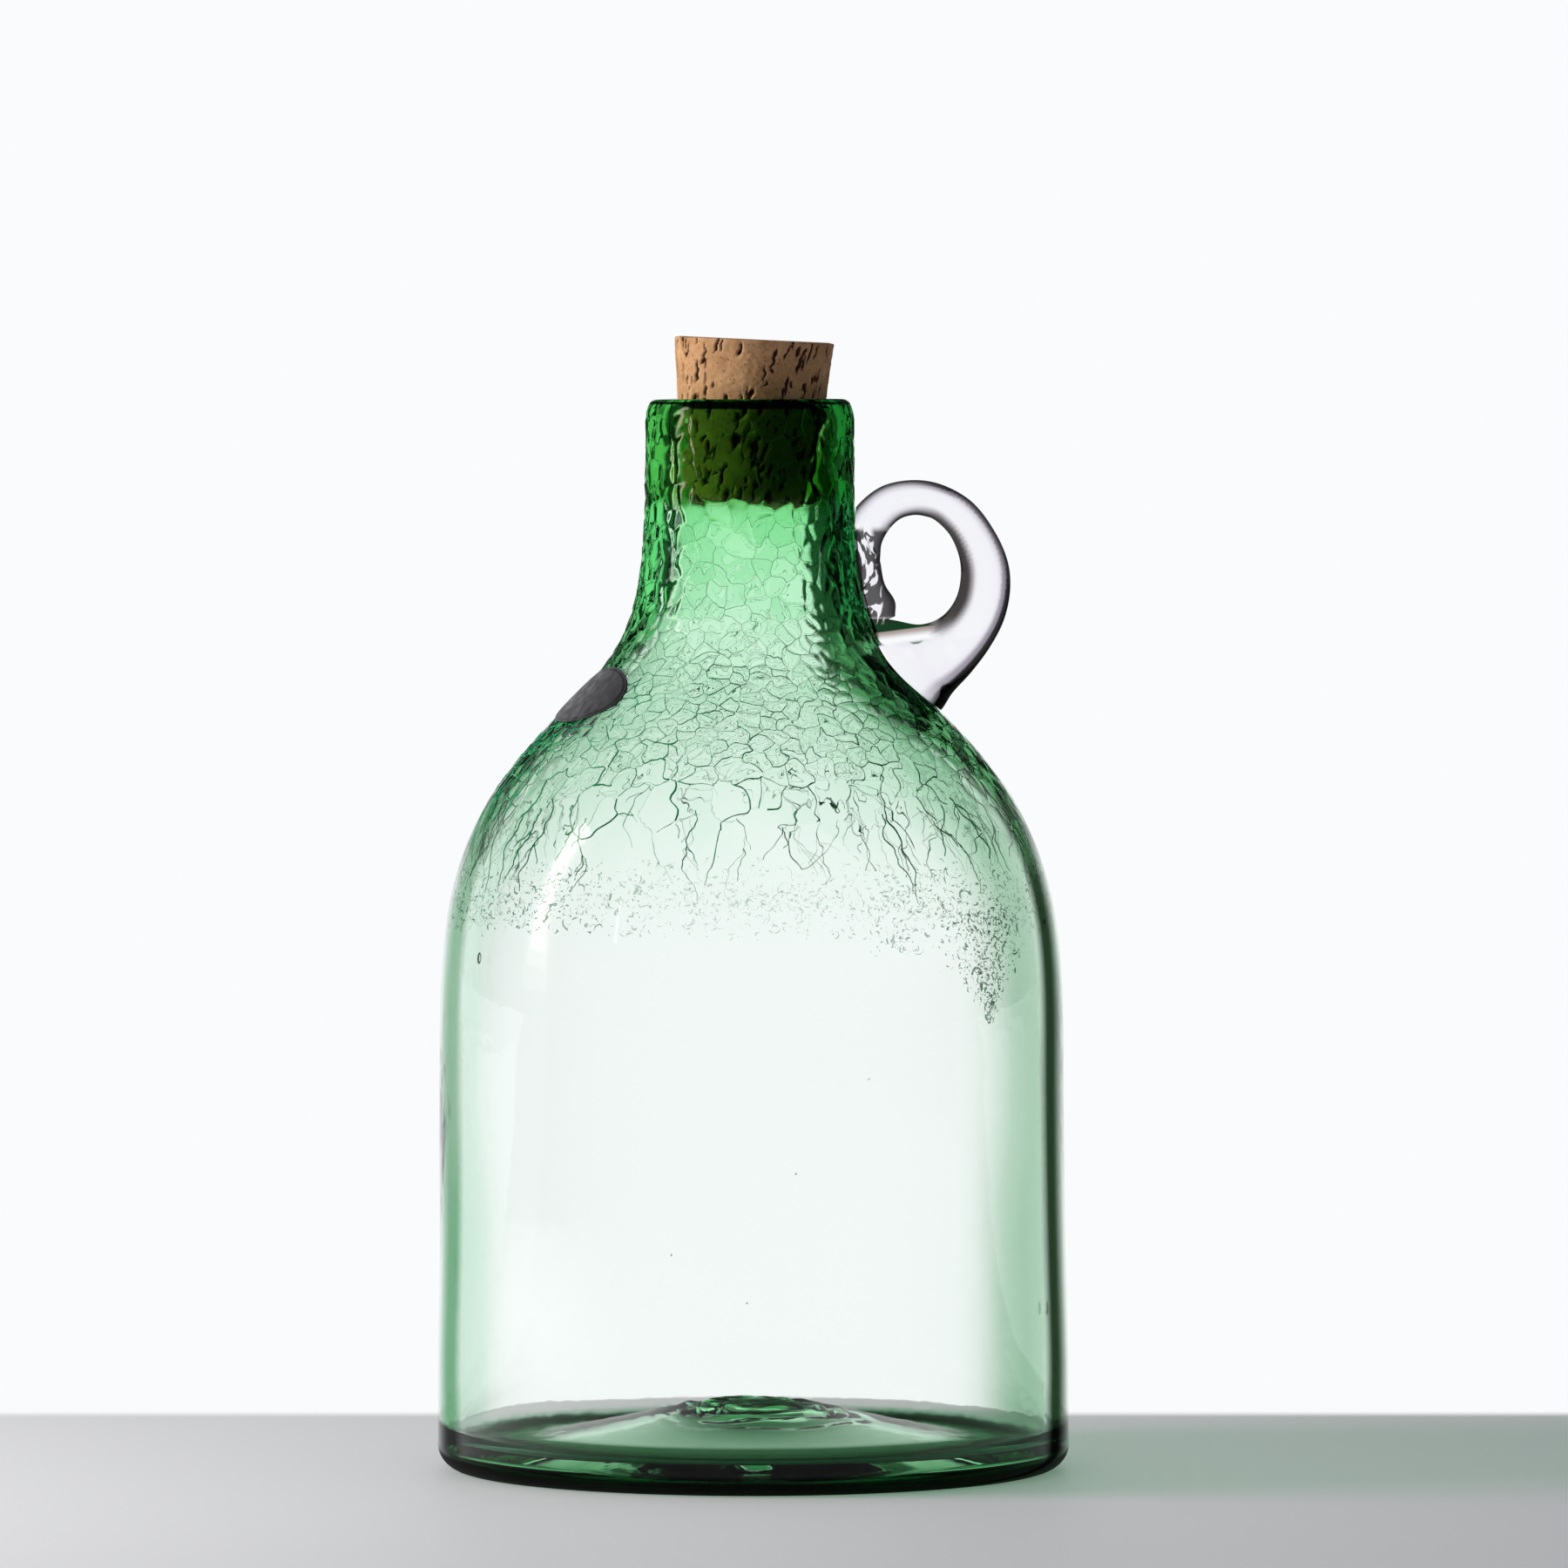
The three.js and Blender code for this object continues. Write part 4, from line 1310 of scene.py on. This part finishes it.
def tail_rows():
    """The tail's sections, each across the wall at its height."""
    rows = []
    for fall, out, sag, wide in tail_shares:
        point, normal = wall_at(handle_top - tail_below_top - fall * tail_length)
        outer = point + normal * out * tail_thickness - np.array([0, sag * tail_length])
        inner = point - normal * out * tail_thickness
        rows.append([*inner, *outer, 0.5 * wide * tail_width])
    return np.array(rows)


def loft(rows, steps):
    """Rings of oval sections that stand on the XZ plane, through rows of edges and half depths."""
    outer, inner = through(rows[:, :2], steps), through(rows[:, 2:4], steps)
    counted = np.stack([np.arange(len(rows)), rows[:, 4] * 1000], 1)
    depth = through(counted, steps)[:, 1] / 1000
    middle, half = 0.5 * (outer + inner), 0.5 * (outer - inner)
    angle = bearings(rod_sides)
    flat = middle[:, None] + half[:, None] * np.cos(angle)[:, None]
    return np.stack([flat[..., 0], depth[:, None] * np.sin(angle), flat[..., 1]], -1)


def folded_tail():
    """The tail with its folds: ridges across it that wander, and dents where the tool pressed."""
    points = loft(tail_rows(), tail_steps)
    share = np.linspace(0, 1, tail_steps + 1)[:, None]
    ridge = np.sin(around * (2.6 * share + 0.16 * waves(points, 0.012, 72)) + 0.5)
    dent = waves(points * [1, 1, 0.8], 0.0070, 73)
    away = points - points.mean(1, keepdims=True)
    fold = (ridge_depth * ridge + dent_depth * dent) * smooth(share, *fold_shares)
    return points + away * fold[..., None]


def closed_form(name, rings):
    """An object without finish from a run of rings, with both ends closed by a middle point."""
    every = [rings[0].mean(0)[None], *rings, rings[-1].mean(0)[None]]
    return mesh_object(name, np.concatenate(every), skin_faces(every))


def combine(target, other, operation):
    """Joins another solid to the target, or cuts it away, and removes it."""
    modifier = target.modifiers.new("combine", "BOOLEAN")
    modifier.operation, modifier.object, modifier.solver = operation, other, "EXACT"
    graph = bpy.context.evaluated_depsgraph_get()
    mesh = bpy.data.meshes.new_from_object(target.evaluated_get(graph))
    target.modifiers.clear()
    target.data = mesh
    bpy.data.objects.remove(other)


def rod_marks(mesh):
    """Two numbers for each point of the rod: its place across the nearest section, from -1 at
    the finger hole's edge to 1 at the outer edge, and how far right of the hole's middle it lies."""
    points = np.empty(len(mesh.vertices) * 3)
    mesh.vertices.foreach_get("co", points)
    points = points.reshape(-1, 3)[:, [0, 2]]
    rows = rod_rows()
    outer, inner = through(rows[:, :2], mark_steps), through(rows[:, 2:4], mark_steps)
    middle, half = 0.5 * (outer + inner), 0.5 * (outer - inner)
    nearest = np.array([
        np.argmin(((middle - point) ** 2).sum(1)) for point in points])
    across = ((points - middle[nearest]) * half[nearest]).sum(1) / (half[nearest] ** 2).sum(1)
    return {"across": across, "right": smooth(points[:, 0], *hole_places)}


def seat_form():
    """The vessel's outer form, filled and grown by the gap, that the handle is cut to."""
    return closed_form("seat_form", on_outside(*wall_grid(seat_columns, 2), handle_gap))


handle_clear, handle_lamps = (0.965, 0.96, 0.985, 1), (0.93, 0.93, 0.94, 1)
# Painted shade at the handle's edges: clear where it faces the view, through grey to black as it
# turns edge on.
handle_edge_shade_stops = [
    (0.0, (1.0, 1.0, 1.0)), (0.12, (0.96, 0.95, 0.98)), (0.28, (0.70, 0.68, 0.72)),
    (0.45, (0.32, 0.30, 0.32)), (0.60, (0.06, 0.05, 0.05)), (0.90, (0.02, 0.018, 0.02)),
    (1.0, (0.15, 0.14, 0.15)),
]
# Painted shade and light: dark at the finger hole's edge, a black outer edge and a grey band right of
# it, the shoulder's green as a reflection and a brown shade on the foot, and the tail's folds.
hole_shade, rim_painted_black = (0.040, 0.032, 0.028, 1), (0.004, 0.003, 0.003, 1)
band_painted_shade, foot_painted_reflection = (0.52, 0.49, 0.54, 1), (0.010, 0.050, 0.018, 1)
foot_painted_shade, fold_painted_shade = (0.42, 0.34, 0.32, 1), (0.040, 0.036, 0.038, 1)
fold_edge_painted_shade, fold_painted_light = (0.020, 0.017, 0.017, 1), (0.93, 0.92, 0.95, 1)
no_tint = (1, 1, 1, 1)
# The shares of the way across the rod, and how far it has turned edge on, where each line of painted
# shade on it begins and where it is full.
inner_across, band_across, black_across = (0.28, 0.76), (0.46, 0.62), (0.69, 0.77)
inner_turn, band_turn, black_turn = (0.02, 0.12), (0.05, 0.13), (0.20, 0.30)
# The line on the foot below the finger hole rises to the right: above it the shoulder's green is
# painted as a reflection, and below it lies a band of painted brown shade.
comma_slope, comma_height = 0.12, 0.19957
comma_edge, brown_width, flat_from, flat_full = 0.0004, 0.0020, 0.0036, 0.0026
left_foot_places, hole_heights = (0.0425, 0.0470), (0.2066, 0.2070)
tail_places = (0.0345, 0.0375)
tail_foot_heights, tail_top_heights = (0.2050, 0.2075), (0.2275, 0.2300)
fold_turn, fold_scale, fold_distortion = (0.0, -0.5, 0.0), (270.0, 150.0, 150.0), 2.6
fold_slope, fold_right, fold_edge = 0.152, (0.0632, 0.0646), (0.52, 0.60)


def clear_glass():
    """Clear glass with a faint lavender cast. Where it turns edge on, and most of all right of the
    finger hole, a refraction that goes from brown-grey to black takes its place as painted shade.
    The painted light and shade of the folded tail's streaks, and the shoulder's green painted as a
    reflection in the foot up to a rising line, with painted brown shade under it, lie on glass that
    does not bend the light. Lamps shine through it."""
    material, start = new_material("clear_glass")
    place, aside, height = start.place(), start.place("X"), start.place("Z")
    facing, within = start.facing(), start.within()
    across, right = start.mark("across"), start.mark("right")
    # Painted shade right of the finger hole, where the rod turns edge on.
    inner = (0 - across).between(*inner_across) * right * facing.between(*inner_turn)
    band = across.between(*band_across) * right * facing.between(*band_turn)
    black = across.between(*black_across) * right * facing.between(*black_turn)
    # Painted reflection and shade on the foot: the shoulder's green above the rising line, a brown
    # shade below it.
    comma = aside * comma_slope + comma_height
    left_foot = 1 - aside.between(*left_foot_places)
    below_hole = left_foot * (1 - height.between(*hole_heights))
    foot_top = height.between(comma, comma + comma_edge) * left_foot * below_hole
    brown = height.between(comma - brown_width, comma) * below_hole
    flat_zone = height.between(comma - flat_from, comma - flat_full) * below_hole
    tail = (1 - aside.between(*tail_places)) * height.between(*tail_foot_heights)
    tail = tail * (1 - height.between(*tail_top_heights))

    rim_colour = start.node("ShaderNodeValToRGB", {"stops": handle_edge_shade_stops}, {0: facing})
    rim_colour = inner.blend(rim_colour, hole_shade)
    rim_colour = band.blend(rim_colour, band_painted_shade, "MULTIPLY")
    rim_colour = black.blend(rim_colour, rim_painted_black)
    # Painted light and shade on the folded tail: light and dark streaks, a dark band along its right
    # and dark where it turns edge on.
    folded = start.node("ShaderNodeMapping", None, {
        "Vector": place, "Rotation": fold_turn, "Scale": fold_scale})
    fold = folded.noise(1.0, 1.0, Distortion=fold_distortion)
    tail_colour = fold.between(*fold_edge).blend(fold_painted_shade, fold_painted_light)
    tail_colour = (aside + height * fold_slope).between(*fold_right).blend(tail_colour, fold_painted_shade)
    tail_colour = facing.between(0.40, 0.80).blend(tail_colour, fold_edge_painted_shade)
    foot_colour = foot_top.blend(brown.blend(no_tint, foot_painted_shade), foot_painted_reflection)
    flat_colour = within.blend(tail.blend(foot_colour, tail_colour), no_tint)

    share = facing.between(0.0, 0.40).most(inner, black, band)
    glass = start.finish(handle_clear, 0.0, {"IOR": glass_ior, "Transmission Weight": 1.0})
    glass = (share.ramp(0.84, 0.97) * (1 - within)).mix(
        glass, refraction(start, rim_colour, glass_ior))
    glass = (tail * 0.92).most(flat_zone).mix(glass, refraction(start, flat_colour, 1.0))
    finish_material(start, lamps_through(start, glass, handle_lamps))
    return material


handle = closed_form("clear_loop_handle", leaned(loft(rod_rows(), rod_steps)))
combine(handle, closed_form("tail", leaned(folded_tail())), "UNION")
combine(handle, seat_form(), "DIFFERENCE")
handle.data.polygons.foreach_set("use_smooth", np.ones(len(handle.data.polygons), bool))
handle.data.set_sharp_from_angle(angle=math.radians(50))
give_marks(handle.data, rod_marks(handle.data))
handle.data.materials.clear()
handle.data.materials.append(clear_glass())
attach(handle, "vessel")
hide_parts("loop_handle")


# The label: an oval sticker of silver-grey foil on the left of the shoulder, left blank inside its
# thin dark border.
label_half = np.array([0.0155, 0.0089])
label_gap, label_thickness = 0.00034, 0.00020
label_height = shoulder_top + 0.0089
label_bearing, label_roll = math.radians(67.6), math.radians(5.3)
label_rings, label_columns = 34, 144


def label_points(lift):
    """A disc of rings on the shoulder at a height over the plain wall, its middle point first. The
    disc is laid out flat across the label's facing, then dropped on to the glass."""
    right = np.array([math.cos(label_bearing), -math.sin(label_bearing), 0])
    middle, facing = (
        np.array([-math.sin(label_bearing) * out, -math.cos(label_bearing) * out, rise])
        for out, rise in wall_at(label_height))
    up = np.cross(facing, right)
    share = np.linspace(0, 1, label_rings + 1)[:, None]
    angle = bearings(label_columns)
    across, along = label_half[0] * share * np.cos(angle), label_half[1] * share * np.sin(angle)
    roll_cos, roll_sin = math.cos(label_roll), math.sin(label_roll)
    flat = middle + (across * roll_cos - along * roll_sin)[..., None] * right
    flat += (across * roll_sin + along * roll_cos)[..., None] * up
    depth = np.zeros(share.shape)
    for _ in range(12):
        here = flat + depth[..., None] * facing
        wall, out = (np.interp(here[..., 2], outside[:, 1], values) for values in (
            outside[:, 0], outside_normal[:, 0]))
        depth = depth - ((np.hypot(here[..., 0], here[..., 1]) - wall) * out - lift) * 0.9
    points = leaned(flat + depth[..., None] * facing)
    return points[0, :1], points[1:]


# The foil's colour is painted dark, as shade for the dark room that silver foil would mirror.
label_foil_painted_dark, label_border = (0.060, 0.058, 0.064, 1), (0.010, 0.010, 0.012, 1)
border_edges = (0.885, 0.895), (0.945, 0.955)


def label_foil():
    """Brushed silver-grey foil, its colour painted dark as shade for the dark room it would mirror,
    with a dark printed line near its edge.
    """
    material, start = new_material("label_foil")
    edge, mottle = start.mark("edge"), start.place().noise(420.0, 4.0)
    line = edge.between(*border_edges[0]) - edge.between(*border_edges[1])
    roughness = mottle.between(0.2, 0.8).ramp(0.35, 0.60)
    finish_material(start, start.finish(line.blend(label_foil_painted_dark, label_border), roughness, {
        "Metallic": 0.75, "Normal": mottle.bump(0.25, 0.0003)}))
    return material


upper_middle, upper_rings = label_points(label_gap + label_thickness)
lower_middle, lower_rings = label_points(label_gap)
label_parts = [upper_middle, *upper_rings, *lower_rings[::-1], lower_middle]
label_edge = np.concatenate([
    [0], np.repeat(np.arange(1, label_rings + 1) / label_rings, label_columns)])
label = add_piece(
    "oval_label", np.concatenate(label_parts),
    [face[::-1] for face in skin_faces(label_parts)],
    label_foil(), "vessel",
    {"edge": np.concatenate([label_edge, label_edge[::-1]])})
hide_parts("shoulder_label")


# The cork: a tapered stopper cut from natural cork and pushed into the mouth a little askew, with
# the dark pores of the bark open on its side.
cork_top_radius, cork_bottom_radius = 0.0193, 0.0157
cork_length, cork_protrusion = 0.0390, 0.0144
cork_edge = 0.0006
cork_lean = math.radians(2.7)
cork_columns, cork_step = 400, 0.0003
pore_count, pore_tall, pore_wide = 520, (0.0005, 0.0022), (0.00018, 0.00045)
pore_slants, pore_depth, face_depth, side_radii = (-0.05, 0.40), 0.0009, 0.0005, (0.0140, 0.0152)


def cork_run():
    """The cork's outline from the middle of its top to the middle of its bottom."""
    top, bottom, edge = cork_protrusion, cork_protrusion - cork_length, cork_edge
    wide, narrow = cork_top_radius, cork_bottom_radius
    return joined(
        bezier([(0.0001, top), (wide - edge, top)], 2),
        bezier([(wide - edge, top), (wide, top), (wide, top - edge)], 4),
        bezier([(wide, top - edge), (narrow, bottom + edge)], 2),
        bezier([(narrow, bottom + edge), (narrow, bottom), (narrow - edge, bottom)], 4),
        bezier([(narrow - edge, bottom), (0.0001, bottom)], 2),
    )


def cork_pores(bearing, height):
    """How open a pore is at each point of the side, from 0 to 1: narrow upright dents with ragged
    ends, each exp(-0.8 s^4) at a share s of the way to its edge."""
    draw = np.random.default_rng(51)
    at = draw.uniform(0, around, pore_count)
    level = draw.uniform(cork_protrusion - cork_length, cork_protrusion, pore_count)
    tall = pore_tall[0] + pore_tall[1] * draw.beta(1.0, 1.7, pore_count)
    wide = pore_wide[0] + pore_wide[1] * draw.beta(1.0, 2.2, pore_count)
    slant = draw.uniform(*pore_slants, pore_count)
    points = np.stack([
        cork_top_radius * np.cos(bearing), cork_top_radius * np.sin(bearing), height], -1)
    ragged_aside = 0.00035 * waves(points, 0.0022, 52)
    ragged_up = 0.0005 * waves(points, 0.0030, 53)
    depth = np.zeros(bearing.shape)
    for k in range(pore_count):
        up = height + ragged_up - level[k]
        aside = ((bearing - at[k] + math.pi) % around - math.pi) * cork_top_radius + ragged_aside
        inside = ((aside - slant[k] * up) / wide[k]) ** 2 + (up / tall[k]) ** 2
        depth = np.maximum(depth, np.exp(-inside * inside * 0.8))
    return depth


def cork_points():
    """The cork's rings with its pores pressed in, and how open a pore is at each point."""
    run = even_run(cork_run(), cork_step)
    flat = np.abs(normals_right(run)[:, 1]) > 0.7
    run = run[~flat | (np.arange(len(run)) % 5 == 0)]
    radius, height = run[:, :1], run[:, 1:]
    points = spun(run, cork_columns)
    pore = cork_pores(*np.broadcast_arrays(bearings(cork_columns), height))
    side = smooth(radius, *side_radii)
    uneven = 0.00006 * waves(points, 0.0015, 54) + 0.0001 * waves(points, 0.008, 55)
    shrink = 1 - (side * pore_depth * pore - uneven) / np.maximum(radius, 0.002)
    points[..., :2] *= shrink[..., None]
    face_pores = smooth(waves(points * [1, 0.35, 1], 0.0030, 56), 0.62, 0.95)
    ends = 1 - smooth(np.abs(normals_right(run)[:, :1]), 0.1, 0.5)
    points[..., 2] -= np.sign(height) * face_depth * face_pores * ends
    return points, pore * side + face_pores * ends


def seated(points):
    """Points of the upright cork carried to its place in the mouth, leaning a little."""
    lean_cos, lean_sin = math.cos(cork_lean), math.sin(cork_lean)
    x, y, z = points[..., 0], points[..., 1], points[..., 2]
    return np.stack([x * lean_cos + z * lean_sin, y, rim - x * lean_sin + z * lean_cos], -1)


cork_light, cork_dark = (0.60, 0.345, 0.175, 1), (0.44, 0.235, 0.110, 1)
cork_pore_dark, cork_fleck = (0.060, 0.020, 0.009, 1), (0.28, 0.13, 0.055, 1)


def natural_cork():
    """Dry tan cork with fine grain and flecks, almost black in the pores."""
    material, start = new_material("natural_cork")
    place = start.place()
    broad, fine = place.noise(160.0, 4.0, Roughness=0.6), place.noise(1500.0, 3.0, Roughness=0.7)
    flecks = start.node("ShaderNodeTexVoronoi", {"feature": "F1"}, {"Vector": place, "Scale": 900.0})
    colour = broad.between(0.35, 0.65).blend(cork_dark, cork_light)
    for part, shade in (
            (1 - flecks.between(0.12, 0.3), cork_fleck), (fine.between(0.3, 0.75) * 0.25, cork_dark),
            (start.mark("pore").between(0.12, 0.6), cork_pore_dark)):
        colour = part.blend(colour, shade)
    grain = (fine * 0.6 + broad * 0.4).bump(0.35, 0.0004)
    finish_material(start, start.finish(
        colour, 0.85, {"Specular IOR Level": 0.3, "Normal": grain}))
    return material


points, pore = cork_points()
cork_rings = [
    np.array([[0, 0, cork_protrusion]]), *points, np.array([[0, 0, cork_protrusion - cork_length]])]
cork = add_piece(
    "tapered_cork", seated(np.concatenate(cork_rings)),
    [face[::-1] for face in skin_faces(cork_rings)],
    natural_cork(), "stopper",
    {"pore": np.concatenate([[0], pore.ravel(), [0]])})
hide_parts("cork_stopper")
